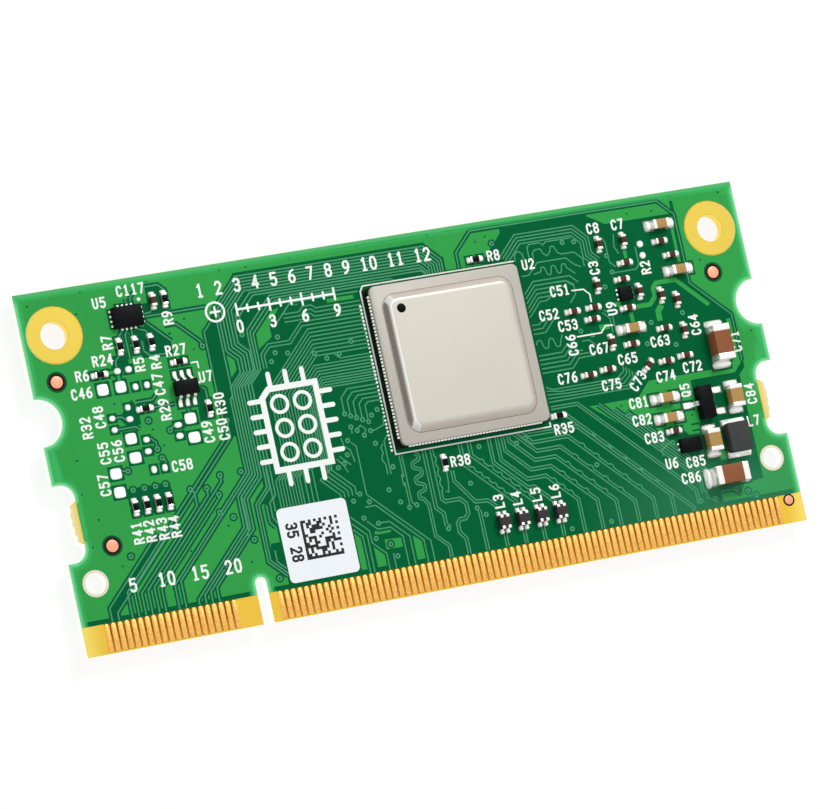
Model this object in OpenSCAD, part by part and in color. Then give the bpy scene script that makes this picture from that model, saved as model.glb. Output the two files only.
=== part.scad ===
// Processor module board: an edge-connector circuit board with a lidded processor,
// small parts on its upper face and two memory packages under it.
// Lengths are in millimetres. The board lies flat, parts up, with its contacts along -Y.

/* [Board] */
// Length of the board along its contact edge
board_l = 67.6; // [66:0.1:70]
// Depth of the board from the contact edge to the far edge
board_w = 31; // [30.5:0.1:34]
// Thickness of the laminate
board_t = 1.0; // [0.8:0.05:1.6]
// Radius of the two half-round notches that the socket's latches snap into
latch_notch_r = 2.05; // [1.8:0.05:2.2]
// Height of the latch notches' centre above the contact edge
latch_notch_y = 20; // [19:0.1:21]
// Depth of the two straight notches below the latch notches
side_notch_d = 1.75; // [1.2:0.05:2]
// Lower end of the straight notches
side_notch_y0 = 7.95; // [7.5:0.05:8.3]
// Upper end of the straight notches
side_notch_y1 = 14.6; // [14:0.05:15]
// Radius of the inner corners of the straight notches
side_notch_r = 1.2; // [0.6:0.05:1.4]

/* [Holes] */
// Diameter of the two plated mounting holes
mount_hole_d = 2.5; // [2.2:0.05:2.7]
// Outer diameter of the gold ring round each mounting hole
mount_ring_d = 4.85; // [4.4:0.05:5.2]
// Distance of the mounting holes from the board's ends
mount_inset_x = 2.95; // [2.8:0.05:3.2]
// Distance of the mounting holes from the far edge
mount_inset_y = 3.85; // [3.6:0.05:4]
// Diameter of the two plain locating holes
locating_hole_d = 1.8; // [1.6:0.05:2]
// Distance of the locating holes from the board's ends
locating_inset_x = 2.0; // [1.8:0.05:2.2]
// Height of the locating holes above the contact edge
locating_y = 6; // [5.5:0.1:6.5]

/* [Edge contacts] */
// Distance between neighbouring contacts
contact_pitch = 0.6; // [0.6:0.01:0.6]
// Width of one contact
contact_w = 0.45; // [0.4:0.01:0.5]
// Length of one contact
contact_l = 2.42; // [2:0.02:2.5]
// Gap between the contacts and the board's edge
contact_gap = 0.12; // [0.05:0.01:0.2]
// Position of the first contact of the short group
short_group_x = 2.15; // [2.1:0.01:2.2]
// Contacts in the short group, on each face
short_group_n = 20; // [18:1:20]
// Position of the first contact of the long group
long_group_x = 17.75; // [17.7:0.01:17.8]
// Contacts in the long group, on each face
long_group_n = 80; // [76:1:80]
// Position of the key slot between the two groups
key_x = 16.25; // [16.2:0.01:16.3]
// Width of the key slot
key_w = 1.0; // [0.9:0.01:1.1]
// Depth of the key slot
key_d = 4.0; // [3.5:0.05:4.2]

/* [Copper and solder] */
// Thickness of the gold-plated copper on the contacts and rings
copper_t = 0.04; // [0.03:0.005:0.06]
// Thickness of the tinned lands that the parts are soldered to
land_t = 0.05; // [0.03:0.005:0.08]

/* [Processor] */
// Side of the square substrate of the processor
cpu_side = 14; // [13.5:0.1:14.2]
// Height of the processor's solder balls
cpu_ball_h = 0.3; // [0.2:0.05:0.4]
// Thickness of the processor's substrate
cpu_base_t = 0.6; // [0.5:0.05:0.8]
// Side of the processor's square metal lid
lid_side = 14.05; // [13.6:0.05:14.3]
// Thickness of the metal sheet of the lid
lid_sheet_t = 0.32; // [0.25:0.01:0.4]
// Height that the lid's middle is raised above its rim
lid_rise = 0.62; // [0.55:0.01:0.8]
// Width of the lid's flat rim
lid_rim = 0.85; // [0.7:0.05:1.4]
// Width of the sloping wall between rim and raised middle
lid_slope = 0.5; // [0.3:0.05:0.6]

/* [Underside packages] */
// Height of the underside packages with their solder balls
under_h = 1.0; // [0.9:0.05:1.2]
// Height of the underside packages' solder balls
under_ball_h = 0.25; // [0.2:0.01:0.35]
// Side of the square working-memory package
memory_side = 12; // [11:0.1:12.2]
// Size of the storage package along the board
flash_l = 11.5; // [11:0.1:12]
// Size of the storage package across the board
flash_w = 13; // [12:0.1:13.2]

/* [Hidden] */
$fn = 48;
overshoot = 0.5;
cut_h = board_t + 2 * overshoot;
sliver = 0.01;

// Tints shared by several sub-parts
tin_tint = "#d5d7da";
solder_tint = "#e9e6df";
gold_tint = "#e8a33c";
ball_tint = "#b9bcc0";
package_tint = "#232427";
dark_ceramic_tint = "#6d4632";
tan_ceramic_tint = "#c08a3e";
brown_ceramic_tint = "#8c4a30";

// Places are measured from the board's lower left corner, seen from above.
mount_y = board_w - mount_inset_y;
cpu_at = [38.05, 19.68];
memory_at = [38.1, 17.2];
flash_at = [12.6, 17.4];
label_at = [22.08, 6.15];
label_size = [6.4, 6.45];
label_corner_r = 0.45;
label_t = 0.08;

// Fiducial marks: round bare copper targets for the assembly cameras, and a spot by the last contact.
fiducial_d = 1.05;
fiducials = [[2.3, 23.2], [4.1, 8.85], [64, 23.2]];
edge_spot = [66.3, 2.05];
edge_spot_d = 0.8;

// Rough edge of the break-off tabs' stubs, as [x measured from the notch's floor, y]
stub_edge = [
    [1, 9.3], [-0.05, 9.4], [-0.5, 9.65], [-0.47, 10.1], [-0.66, 10.4], [-0.55, 10.8], [-0.7, 11.2],
    [-0.6, 11.55], [-0.74, 11.95], [-0.54, 12.3], [-0.62, 12.75], [-0.05, 13.1], [1, 13.2]
];

// Body sizes of the two-ended chips as [length, width, height, end band]
size_0402 = [1.0, 0.5, 0.5, 0.24];
size_0402_flat = [1.0, 0.5, 0.34, 0.22];
size_0603 = [1.65, 0.85, 0.8, 0.38];
size_0805 = [2.0, 1.25, 1.05, 0.42];
size_1206 = [3.2, 1.65, 1.6, 0.62];

// How far a two-ended chip's body lies inside its metal ends
body_inset = 0.02;

// Lands of the two-ended chips as [half the outer span, land length, land width]
land_0402 = [0.78, 0.5, 0.56];
land_0603 = [1.47, 0.9, 0.98];
land_0805 = [1.5, 0.8, 1.4];
land_1206 = [2.18, 0.95, 1.7];

// Each placing is [x, y, angle].
resistor_places = [
    [8.33, 25.3, 90], [9.75, 25.25, 90], [11.15, 25.25, 90], [6.1, 23.2, 0], [13.2, 23.2, 0],
    [9.4, 19.75, 0], [13.1, 28.7, 90], [15.0, 18.85, 90], [41.8, 27.75, 0], [46.35, 13.0, 0],
    [34.9, 10.75, 90], [6.75, 11.7, 90], [7.77, 11.7, 90], [8.79, 11.7, 90], [9.81, 11.7, 90]
];
signal_cap_places = [
    [12.05, 28.7, 90], [53.6, 27.3, 90], [56.0, 27.3, 90],
    [55.75, 25.3, 0], [59.5, 26.7, 0], [60.28, 25.35, 0]
];
memory_cap_places = [[52.6, 23.72, 90], [51.83, 21.85, 0], [49.8, 21.8, 0], [51.5, 20.85, 0]];
regulator_cap_places = [
    [55.1, 23.9, 0], [56.47, 22.6, 90], [55.07, 21.3, 0], [58.45, 21.95, 90], [59.85, 21.33, 90]
];
core_cap_places = [
    [52.8, 18.55, 90], [54.67, 18.1, 0], [58.1, 19.0, 0], [59.9, 18.55, 90], [50.0, 16.05, 0],
    [51.9, 16.25, 0], [55.75, 16.0, 45], [57.6, 16.1, 0], [59.5, 16.3, 0], [56.83, 9.87, 0]
];
reservoir_places = [
    [59.78, 28.18, 0], [60.65, 23.92, 0], [54.95, 19.47, 0], [56.65, 12.88, 0], [56.63, 11.08, 0]
];
output_places = [[63.18, 11.95, 90], [60.15, 8.43, 90]];
bulk_places = [[62.8, 16.77, 90], [60.85, 5.2, 0]];

// Lands with no part on them, as [x, y, width, height]
bare_land_places = [
    [7.72, 23.28, 0.6, 0.55], [8.72, 23.28, 0.6, 0.58],
    [6.12, 21.92, 1.0, 1.0], [7.72, 21.92, 0.95, 1.0],
    [9.0, 21.72, 0.52, 0.6], [10.03, 21.72, 0.52, 0.6],
    [7.95, 20.1, 0.52, 0.55], [7.92, 19.1, 0.62, 0.52],
    [6.4, 19.4, 0.55, 0.5], [6.4, 18.4, 0.55, 0.5],
    [7.66, 17.45, 1.0, 0.95], [7.7, 15.8, 1.05, 0.95],
    [8.98, 17.15, 0.58, 0.52], [8.92, 16.15, 0.62, 0.52],
    [5.72, 14.75, 1.02, 0.95], [5.72, 13.15, 1.02, 0.95],
    [9.08, 14.55, 0.52, 0.64], [10.06, 14.55, 0.5, 0.64],
    [13.2, 18.3, 1.05, 0.95], [13.2, 16.65, 1.05, 0.95],
    [12.0, 17.92, 0.7, 0.5], [11.95, 16.98, 0.66, 0.55],
    [57.62, 26.75, 0.62, 0.6], [57.64, 25.72, 0.58, 0.6]
];
bare_land_corner_r = 0.1;

// Leadless chips as [x, y, length, width, height]
interface_chip_box = [9.5, 27.7, 2.6, 1.8, 0.55];
charge_chip_box = [55.08, 22.6, 1.2, 1.2, 0.5];
converter_chip_box = [58.0, 8.42, 1.95, 1.25, 0.6];
leadless_land = [0.34, 0.22];

// Six-lead chip and three-lead transistor as [x, y, length, width, height]
gate_chip_box = [13.25, 20.9, 2.0, 1.25, 0.9];
transistor_box = [60.2, 11.87, 2.9, 1.3, 1.0];
leaded_stand_off = 0.08;

// Their bent leads as [reach beside the body, height of the shoulder, width]
gate_lead = [0.52, 0.4, 0.26];
transistor_lead = [0.62, 0.45, 0.42];
lead_t = 0.13;
gate_pitch = 0.65;
transistor_pitch = 1.9;

// Lands under the leads, and how far their middle lies past the lead's tip
gate_land = [0.62, 0.4];
gate_land_shift = 0.12;
transistor_land = [0.95, 0.62];
transistor_land_shift = 0.28;

// Line filters: four two-coil chips in a row
filter_count = 4;
filter_x0 = 39.03;
filter_pitch = 1.8;
filter_y = 4.75;
filter_body = [1.0, 1.25, 0.82];
filter_end = [0.3, 0.26];
filter_end_offset = 0.275;
filter_land = [0.34, 0.62];
filter_land_y = 0.7;

inductor_at = [62.53, 8.33];
inductor_body = [2.05, 2.6, 1.1];
inductor_land = [2.35, 0.7];
inductor_land_y = 1.38;

// Decoupling capacitors under the board, as grids of
// [first x, first y, columns, rows, column step, row step, angle]
under_cap_grids = [
    [31.9, 25.4, 6, 1, 2.5, 0, 90],
    [31.9, 8.9, 6, 1, 2.5, 0, 90],
    [30.2, 12.4, 1, 5, 0, 2.4, 0],
    [46.0, 12.4, 2, 5, 2.2, 2.4, 0],
    [20.4, 12.6, 1, 5, 0, 2.4, 0],
    [52.4, 11.6, 4, 3, 2.8, 3.4, 90]
];
under_cap_places = [
    for (g = under_cap_grids)
        for (i = [0:g[2] - 1])
            for (j = [0:g[3] - 1]) [g[0] + i * g[4], g[1] + j * g[5], g[6]]
];

cpu_corner_r = 0.15;
die_side = 6.2;
die_t = 0.5;
lid_corner_r = 0.45;
lid_bump_r = 1.1;
lid_wall_t = 0.15;
lid_top_z = lid_sheet_t + lid_rise;
thermal_t = lid_rise - die_t;

resistor_n = len(resistor_places);
reservoir_n = len(reservoir_places);
output_n = len(output_places);
bulk_n = len(bulk_places);

// Frames: the origin is under the middle of the board, on the surface that it lies on.
module board_frame(z) {
    translate([-board_l / 2, -board_w / 2, z]) children();
}

module on_top(lift = 0) {
    board_frame(under_h + board_t + lift) children();
}

module on_underside(drop = 0) {
    board_frame(under_h - drop) mirror([0, 0, 1]) children();
}

// Basic shapes
module slab(size, z0, z1) {
    translate([-size[0] / 2, -size[1] / 2, z0]) cube([size[0], size[1], z1 - z0]);
}

module round_slab(size, r, z0, z1) {
    translate([0, 0, z0]) linear_extrude(z1 - z0) round_rect(size, r);
}

module round_rect(size, r) {
    square([size[0], size[1] - 2 * r], center = true);
    square([size[0] - 2 * r, size[1]], center = true);
    for (sx = [-1, 1])
        for (sy = [-1, 1])
            translate([sx * (size[0] / 2 - r), sy * (size[1] / 2 - r)]) circle(r);
}

module placed(place) {
    translate([place[0], place[1], 0]) rotate(place[2]) children();
}

// Board
module side_notch() {
    // Open at x = 0, with the rough stub of a break-off tab left in its floor
    difference() {
        union() {
            translate([-overshoot, side_notch_y0, -overshoot])
                cube([overshoot + side_notch_d - side_notch_r, side_notch_y1 - side_notch_y0, cut_h]);
            translate([-overshoot, side_notch_y0 + side_notch_r, -overshoot])
                cube([
                    overshoot + side_notch_d,
                    side_notch_y1 - side_notch_y0 - 2 * side_notch_r,
                    cut_h
                ]);
            for (y = [side_notch_y0 + side_notch_r, side_notch_y1 - side_notch_r])
                translate([side_notch_d - side_notch_r, y, -overshoot])
                    cylinder(r = side_notch_r, h = cut_h);
        }
        translate([0, 0, -2 * overshoot])
            linear_extrude(cut_h + 2 * overshoot) tab_stub();
    }
}

module tab_stub() {
    polygon([for (p = stub_edge) [side_notch_d + p[0], p[1]]]);
}

module key_slot() {
    translate([key_x - key_w / 2, -overshoot, -overshoot])
        cube([key_w, overshoot + key_d - key_w / 2, board_t + 2 * overshoot]);
    translate([key_x, key_d - key_w / 2, -overshoot]) cylinder(d = key_w, h = cut_h);
}

module both_ends() {
    children();
    translate([board_l, 0, 0]) mirror([1, 0, 0]) children();
}

module circuit_board() {
    color("#3a9e45") board_frame(under_h) difference() {
        cube([board_l, board_w, board_t]);
        both_ends() {
            translate([0, latch_notch_y, -overshoot]) cylinder(r = latch_notch_r, h = cut_h);
            side_notch();
            translate([mount_inset_x, mount_y, -overshoot]) cylinder(d = mount_hole_d, h = cut_h);
            translate([locating_inset_x, locating_y, -overshoot])
                cylinder(d = locating_hole_d, h = cut_h);
        }
        key_slot();
    }
}

module contact_row() {
    starts = concat(
        [for (i = [0:short_group_n - 1]) short_group_x + i * contact_pitch],
        [for (i = [0:long_group_n - 1]) long_group_x + i * contact_pitch]
    );
    for (x = starts)
        translate([x, contact_gap, 0]) linear_extrude(copper_t) {
            translate([-contact_w / 2, 0]) square([contact_w, contact_l - contact_w / 2]);
            translate([0, contact_l - contact_w / 2]) circle(d = contact_w);
        }
}

module edge_contacts_front() {
    color(gold_tint) on_top() contact_row();
}

module edge_contacts_back() {
    color(gold_tint) on_underside() contact_row();
}

module mounting_ring(x) {
    // One flat ring on each face, round the same hole
    color("#e9c84c") board_frame(under_h) translate([x, mount_y, 0])
        for (z = [-copper_t, board_t])
            translate([0, 0, z]) difference() {
                cylinder(d = mount_ring_d, h = copper_t);
                translate([0, 0, -overshoot]) cylinder(d = mount_hole_d, h = copper_t + 2 * overshoot);
            }
}

module mounting_ring_left() {
    mounting_ring(mount_inset_x);
}

module mounting_ring_right() {
    mounting_ring(board_l - mount_inset_x);
}

module fiducial_marks() {
    color("#e58f72") on_top() {
        for (p = fiducials) translate(p) cylinder(d = fiducial_d, h = copper_t);
        translate(edge_spot) cylinder(d = edge_spot_d, h = copper_t);
    }
}

// Lands
module bare_lands() {
    color(solder_tint) on_top()
        for (p = bare_land_places)
            translate([p[0], p[1], 0]) round_slab([p[2], p[3]], bare_land_corner_r, 0, land_t);
}

module land_pair(place, land) {
    placed(place)
        for (s = [-1, 1])
            translate([s * (land[0] - land[1] / 2), 0, 0]) slab([land[1], land[2]], 0, land_t);
}

module leadless_lands(box, along, n, step) {
    // Lands peep out of two opposite sides of a leadless chip
    across = along == 0 ? box[3] : box[2];
    place = [box[0], box[1], along == 0 ? 90 : 0];
    placed(place)
        for (s = [-1, 1])
            for (i = [0:n - 1])
                translate([s * across / 2, (i - (n - 1) / 2) * step, 0])
                    slab(leadless_land, 0, land_t);
}

module component_lands() {
    color(solder_tint) on_underside() for (p = under_cap_places) land_pair(p, land_0402);
    color(solder_tint) on_top() {
        for (p = concat(resistor_places, signal_cap_places, memory_cap_places)) land_pair(p, land_0402);
        for (p = concat(regulator_cap_places, core_cap_places)) land_pair(p, land_0402);
        for (p = reservoir_places) land_pair(p, land_0603);
        for (p = output_places) land_pair(p, land_0805);
        for (p = bulk_places) land_pair(p, land_1206);
        leadless_lands(interface_chip_box, along = 0, n = 4, step = 0.42);
        leadless_lands(interface_chip_box, along = 1, n = 4, step = 0.4);
        leadless_lands(charge_chip_box, along = 1, n = 3, step = 0.42);
        leadless_lands(converter_chip_box, along = 1, n = 2, step = 0.5);
        for (i = [0:filter_count - 1])
            translate([filter_x0 + i * filter_pitch, filter_y, 0])
                for (sx = [-1, 1])
                    for (sy = [-1, 1])
                        translate([sx * filter_end_offset, sy * filter_land_y, 0])
                            slab(filter_land, 0, land_t);
        translate(inductor_at)
            for (s = [-1, 1])
                translate([0, s * inductor_land_y, 0]) slab(inductor_land, 0, land_t);
        gate_chip_lands();
        transistor_lands();
    }
}

// Processor
module ball_grid(n, pitch, rings, core, d, h) {
    // Solder balls in the outer rings of a square grid, with a smaller full grid in the middle
    for (i = [0:n - 1])
        for (j = [0:n - 1]) {
            edge = min(i, j, n - 1 - i, n - 1 - j);
            middle = max(abs(i - (n - 1) / 2), abs(j - (n - 1) / 2)) < core / 2;
            if (edge < rings || middle)
                translate([(i - (n - 1) / 2) * pitch, (j - (n - 1) / 2) * pitch, 0])
                    cylinder(d = d, h = h);
        }
}

module processor_balls() {
    color(ball_tint) on_top() translate(cpu_at)
        ball_grid(n = 20, pitch = 0.65, rings = 3, core = 8, d = 0.36, h = cpu_ball_h);
}

module processor_substrate() {
    color("#2c3a2c") on_top(cpu_ball_h) translate(cpu_at)
        round_slab([cpu_side, cpu_side], cpu_corner_r, 0, cpu_base_t);
}

module processor_die() {
    color("#3b3f46") on_top(cpu_ball_h + cpu_base_t) translate(cpu_at)
        slab([die_side, die_side], 0, die_t);
}

module thermal_layer() {
    color("#c9ccd1") on_top(cpu_ball_h + cpu_base_t) translate(cpu_at)
        slab([die_side, die_side], die_t, die_t + thermal_t);
}

module lid_bump(top_w, foot_w, r, z0, z1) {
    // Sloping block with rounded corners
    hull() {
        round_slab([foot_w, foot_w], r, z0, z0 + sliver);
        round_slab([top_w, top_w], r, z1 - sliver, z1);
    }
}

module processor_lid() {
    foot = lid_side - 2 * lid_rim;
    top = foot - 2 * lid_slope;
    inner = 2 * lid_wall_t;
    color("#d9d3c6") on_top(cpu_ball_h + cpu_base_t) translate(cpu_at) difference() {
        union() {
            round_slab([lid_side, lid_side], lid_corner_r, 0, lid_sheet_t);
            lid_bump(top, foot, lid_bump_r, 0, lid_top_z);
        }
        lid_bump(top - inner, foot - inner, lid_bump_r - lid_wall_t, -2 * sliver, lid_rise);
    }
}

// Underside packages
module memory_chip_balls() {
    color(ball_tint) on_underside() translate(memory_at)
        ball_grid(n = 23, pitch = 0.5, rings = 2, core = 0, d = 0.28, h = under_ball_h);
}

module memory_chip() {
    color(package_tint) on_underside() translate(memory_at)
        slab([memory_side, memory_side], under_ball_h, under_h);
}

module flash_chip_balls() {
    color(ball_tint) on_underside() translate(flash_at)
        ball_grid(n = 14, pitch = 0.75, rings = 3, core = 4, d = 0.3, h = under_ball_h);
}

module flash_chip() {
    color(package_tint) on_underside() translate(flash_at)
        slab([flash_l, flash_w], under_ball_h, under_h);
}

// Small chips
module plain_chip(box) {
    color(package_tint) on_top(land_t) translate([box[0], box[1], 0]) slab([box[2], box[3]], 0, box[4]);
}

module interface_chip() {
    plain_chip(interface_chip_box);
}

module charge_chip() {
    plain_chip(charge_chip_box);
}

module converter_chip() {
    plain_chip(converter_chip_box);
}

module gull_lead(lead) {
    // Runs out of the body at x = 0, bends down and ends in a flat foot
    reach = lead[0];
    rise = lead[1];
    shoulder = reach * 0.35;
    foot = reach * 0.4;
    translate([0, lead[2] / 2, 0]) rotate([90, 0, 0]) linear_extrude(lead[2]) polygon([
        [0, rise], [0, rise + lead_t], [shoulder, rise + lead_t],
        [reach - foot + lead_t / 2, lead_t], [reach, lead_t], [reach, 0],
        [reach - foot - lead_t / 2, 0], [shoulder - lead_t / 2, rise]
    ]);
}

module gate_chip() {
    color(package_tint) on_top(land_t) translate([gate_chip_box[0], gate_chip_box[1], 0])
        slab([gate_chip_box[2], gate_chip_box[3]], leaded_stand_off, gate_chip_box[4]);
}

module each_gate_lead() {
    for (s = [90, -90])
        for (i = [-1:1])
            translate([gate_chip_box[0] + i * gate_pitch, gate_chip_box[1], 0]) rotate(s)
                translate([gate_chip_box[3] / 2, 0, 0]) children();
}

module gate_chip_leads() {
    color(tin_tint) on_top(land_t) each_gate_lead() gull_lead(gate_lead);
}

module gate_chip_lands() {
    each_gate_lead() translate([gate_lead[0] + gate_land_shift, 0, 0]) slab(gate_land, 0, land_t);
}

module transistor() {
    color(package_tint) on_top(land_t) translate([transistor_box[0], transistor_box[1], 0])
        slab([transistor_box[3], transistor_box[2]], leaded_stand_off, transistor_box[4]);
}

module each_transistor_lead() {
    translate([transistor_box[0], transistor_box[1], 0]) {
        rotate(180) translate([transistor_box[3] / 2, 0, 0]) children();
        for (s = [-1, 1])
            translate([transistor_box[3] / 2, s * transistor_pitch / 2, 0]) children();
    }
}

module transistor_leads() {
    color(tin_tint) on_top(land_t) each_transistor_lead() gull_lead(transistor_lead);
}

module transistor_lands() {
    each_transistor_lead()
        translate([transistor_lead[0] + transistor_land_shift, 0, 0]) slab(transistor_land, 0, land_t);
}

// Two-ended chips
module two_ended(size, tint) {
    // A body between two wrapped metal ends
    body = [size[0] - 2 * body_inset, size[1] - 2 * body_inset];
    color(tint) slab(body, body_inset / 2, size[2] - body_inset);
    color(tin_tint)
        for (s = [-1, 1])
            translate([s * (size[0] - size[3]) / 2, 0, 0]) slab([size[3], size[1]], 0, size[2]);
}

module chip_set(places, size, tint) {
    on_top(land_t) for (p = places) placed(p) two_ended(size, tint);
}

module chip_resistor(place) {
    chip_set([place], size_0402_flat, "#17181a");
}

module signal_capacitors() {
    chip_set(signal_cap_places, size_0402, dark_ceramic_tint);
}

module memory_capacitors() {
    chip_set(memory_cap_places, size_0402, dark_ceramic_tint);
}

module regulator_capacitors() {
    chip_set(regulator_cap_places, size_0402, dark_ceramic_tint);
}

module core_capacitors() {
    chip_set(core_cap_places, size_0402, dark_ceramic_tint);
}

module underside_capacitors() {
    on_underside(land_t) for (p = under_cap_places) placed(p) two_ended(size_0402, dark_ceramic_tint);
}

// Power parts
module power_inductor() {
    color("#3a3b3d") on_top(land_t) translate(inductor_at)
        slab([inductor_body[0], inductor_body[1]], 0, inductor_body[2]);
}

module line_filter(i) {
    on_top(land_t) translate([filter_x0 + (i - 1) * filter_pitch, filter_y, 0]) {
        color("#3f3a3c")
            slab([filter_body[0], filter_body[1] - 2 * body_inset], body_inset, filter_body[2] - sliver);
        color(tin_tint)
            for (sx = [-1, 1])
                for (sy = [-1, 1])
                    translate([sx * filter_end_offset, sy * (filter_body[1] - filter_end[1]) / 2, 0])
                        slab(filter_end, 0, filter_body[2]);
    }
}

module label() {
    color("#f4f7fa") on_top() translate(label_at) round_slab(label_size, label_corner_r, 0, label_t);
}

circuit_board();
edge_contacts_front();
edge_contacts_back();
mounting_ring_left();
mounting_ring_right();
fiducial_marks();
bare_lands();
component_lands();
processor_balls();
processor_substrate();
processor_die();
thermal_layer();
processor_lid();
memory_chip();
memory_chip_balls();
flash_chip();
flash_chip_balls();
interface_chip();
gate_chip();
gate_chip_leads();
charge_chip();
converter_chip();
transistor();
transistor_leads();
power_inductor();
signal_capacitors();
memory_capacitors();
regulator_capacitors();
core_capacitors();
underside_capacitors();
label();
for (i = [1:filter_count])
    line_filter(i);
for (i = [1:bulk_n])
    chip_set([bulk_places[i - 1]], size_1206, brown_ceramic_tint);
for (i = [1:output_n])
    chip_set([output_places[i - 1]], size_0805, tan_ceramic_tint);
for (i = [1:reservoir_n])
    chip_set([reservoir_places[i - 1]], size_0603, tan_ceramic_tint);
for (i = [1:resistor_n])
    chip_resistor(resistor_places[i - 1]);
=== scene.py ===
import math
import random

import bmesh
import bpy
from mathutils import Matrix, Vector
from mathutils.geometry import delaunay_2d_cdt
from mathutils.kdtree import KDTree


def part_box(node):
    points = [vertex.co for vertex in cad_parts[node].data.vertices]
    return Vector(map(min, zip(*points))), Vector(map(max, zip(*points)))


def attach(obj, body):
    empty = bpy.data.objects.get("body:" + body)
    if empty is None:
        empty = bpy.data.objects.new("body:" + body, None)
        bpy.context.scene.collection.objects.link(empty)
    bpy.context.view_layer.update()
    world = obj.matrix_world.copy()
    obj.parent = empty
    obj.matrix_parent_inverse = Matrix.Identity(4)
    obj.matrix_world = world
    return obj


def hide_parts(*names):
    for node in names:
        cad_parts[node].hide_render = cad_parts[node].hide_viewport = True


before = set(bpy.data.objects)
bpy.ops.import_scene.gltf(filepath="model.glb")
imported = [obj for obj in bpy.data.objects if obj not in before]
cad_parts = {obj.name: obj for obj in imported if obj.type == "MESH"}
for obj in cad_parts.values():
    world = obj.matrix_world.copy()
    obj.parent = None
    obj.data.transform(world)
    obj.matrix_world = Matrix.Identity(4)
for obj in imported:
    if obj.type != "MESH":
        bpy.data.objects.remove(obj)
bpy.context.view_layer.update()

bl_info = {
    "name": "Processor Module Board",
    "version": (1, 0, 0),
    "blender": (4, 5, 0),
    "location": "View3D > Sidebar > Module Board",
    "description": "Gives a processor module board its mask, copper, legend, chips and solder",
    "category": "Object",
}

# Shapes are modelled in millimetres and brought to metres when a piece is finished.
MM = 0.001
BOARD_LOW, BOARD_HIGH = (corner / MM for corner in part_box("circuit_board"))
BOARD_L = BOARD_HIGH.x - BOARD_LOW.x
TOP = BOARD_HIGH.z
UNDER = BOARD_LOW.z
SEED = 41


def paint(code):
    """Scene-linear colour of a #rrggbb code."""
    parts = [int(code[i:i + 2], 16) / 255 for i in (1, 3, 5)]
    return tuple(p / 12.92 if p <= 0.04045 else ((p + 0.055) / 1.055) ** 2.4 for p in parts)


# Settings
def length_setting(name, text, value_mm):
    """A length in the panel, given here in millimetres."""
    return bpy.props.FloatProperty(
        name=name, description=text, default=value_mm * MM, min=0, unit="LENGTH", precision=5)


def colour_setting(name, text, code):
    return bpy.props.FloatVectorProperty(
        name=name, description=text, default=paint(code), size=3, min=0, max=1, subtype="COLOR")


class BoardSettings(bpy.types.PropertyGroup):
    """Sizes of the copper, the mask and the printed legend."""
    trace_width: length_setting("Trace width", "Width of a thin copper trace", 0.14)
    trace_pitch: length_setting("Trace pitch", "Distance between neighbouring traces of a bus", 0.27)
    clearance: length_setting("Clearance", "Bare gap between a trace and the copper round it", 0.15)
    mask_thickness: length_setting("Mask thickness", "Thickness of the solder mask", 0.012)
    copper_rise: length_setting("Copper rise", "Height of the copper that shows through the mask", 0.022)
    slope: length_setting("Copper slope", "Width of the sloping side of the copper under the mask", 0.014)
    fine_width: length_setting("Fine trace width", "Width of a length-matched trace", 0.125)
    edge_band: length_setting("Edge band", "Width of the copper-free band along the edge", 0.4)
    ink_thickness: length_setting("Ink thickness", "Thickness of the printed legend", 0.014)
    stroke: length_setting("Legend stroke", "Line width of the printed legend", 0.165)


class FinishSettings(bpy.types.PropertyGroup):
    """Colours of the finishes."""
    mask_on_copper: colour_setting("Mask on copper", "Solder mask over a copper area", "#36a44d")
    # The colour over traces is partly the copper under the thinner mask and partly a painted highlight
    # along the traces.
    mask_on_trace: colour_setting("Mask on traces", "Thinner solder mask over the traces", "#52a075")
    mask_on_base: colour_setting("Mask on laminate", "Solder mask where no copper lies under it", "#006236")
    # Painted light: the three edge colours stand in for light that shines through the cut edge into the
    # mask, weaker at the far long edge.
    mask_near_edge: colour_setting("Mask near the edge", "Solder mask over the edge band", "#40bc68")
    mask_edge: colour_setting("Mask at the edge", "Solder mask at the cut edge, lit from below", "#8ee8a4")
    mask_far_edge: colour_setting("Mask at the far edge", "Solder mask at the far long edge", "#62bb6e")
    laminate: colour_setting("Laminate", "Bare glass-epoxy laminate", "#f8cb38")
    stub: colour_setting("Tab stubs", "Frayed laminate of the break-off tabs", "#f2e8b0")
    gold: colour_setting("Contact gold", "Gold of the edge contacts", "#f9c062")
    # Painted shade: the gaps between the contacts are painted dark where shade falls.
    gap: colour_setting("Contact gaps", "Laminate in the gaps between the contacts", "#845409")
    ring_gold: colour_setting("Ring gold", "Gold of the mounting rings", "#dcc046")
    copper: colour_setting("Copper", "Bare copper of the fiducial marks", "#f9ac86")
    lid: colour_setting("Lid", "Plated metal of the processor's lid", "#c9c5ba")
    # Painted shade: the flange is the lid's metal painted darker than the crest.
    lid_flange: colour_setting("Lid flange", "Duller metal of the lid's flange", "#bbb6ad")
    ink: colour_setting("Legend ink", "White ink of the legend", "#fbfffb")


class StageSettings(bpy.types.PropertyGroup):
    """Camera, lamps and floor."""
    camera_place: bpy.props.FloatVectorProperty(
        name="Camera place", description="Where the camera stands", size=3, unit="LENGTH",
        default=(-0.14469, -0.04035, 0.35883))
    camera_lens: bpy.props.FloatProperty(
        name="Lens", description="Focal length in millimetres on a 36 mm sensor", default=196.84)
    key_power: bpy.props.FloatProperty(
        name="Key lamp", description="Power of the lamp over the far side", default=0.57, unit="POWER")
    fill_power: bpy.props.FloatProperty(
        name="Fill lamp", description="Power of the lamp on the near left", default=0.5, unit="POWER")
    sky: bpy.props.FloatProperty(
        name="Sky", description="Strength of the even light from above", default=0.68, min=0)
    floor_size: bpy.props.FloatProperty(
        name="Floor size", description="Side of the floor", default=4.0, unit="LENGTH")


def board():
    return bpy.context.scene.module_board


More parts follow.
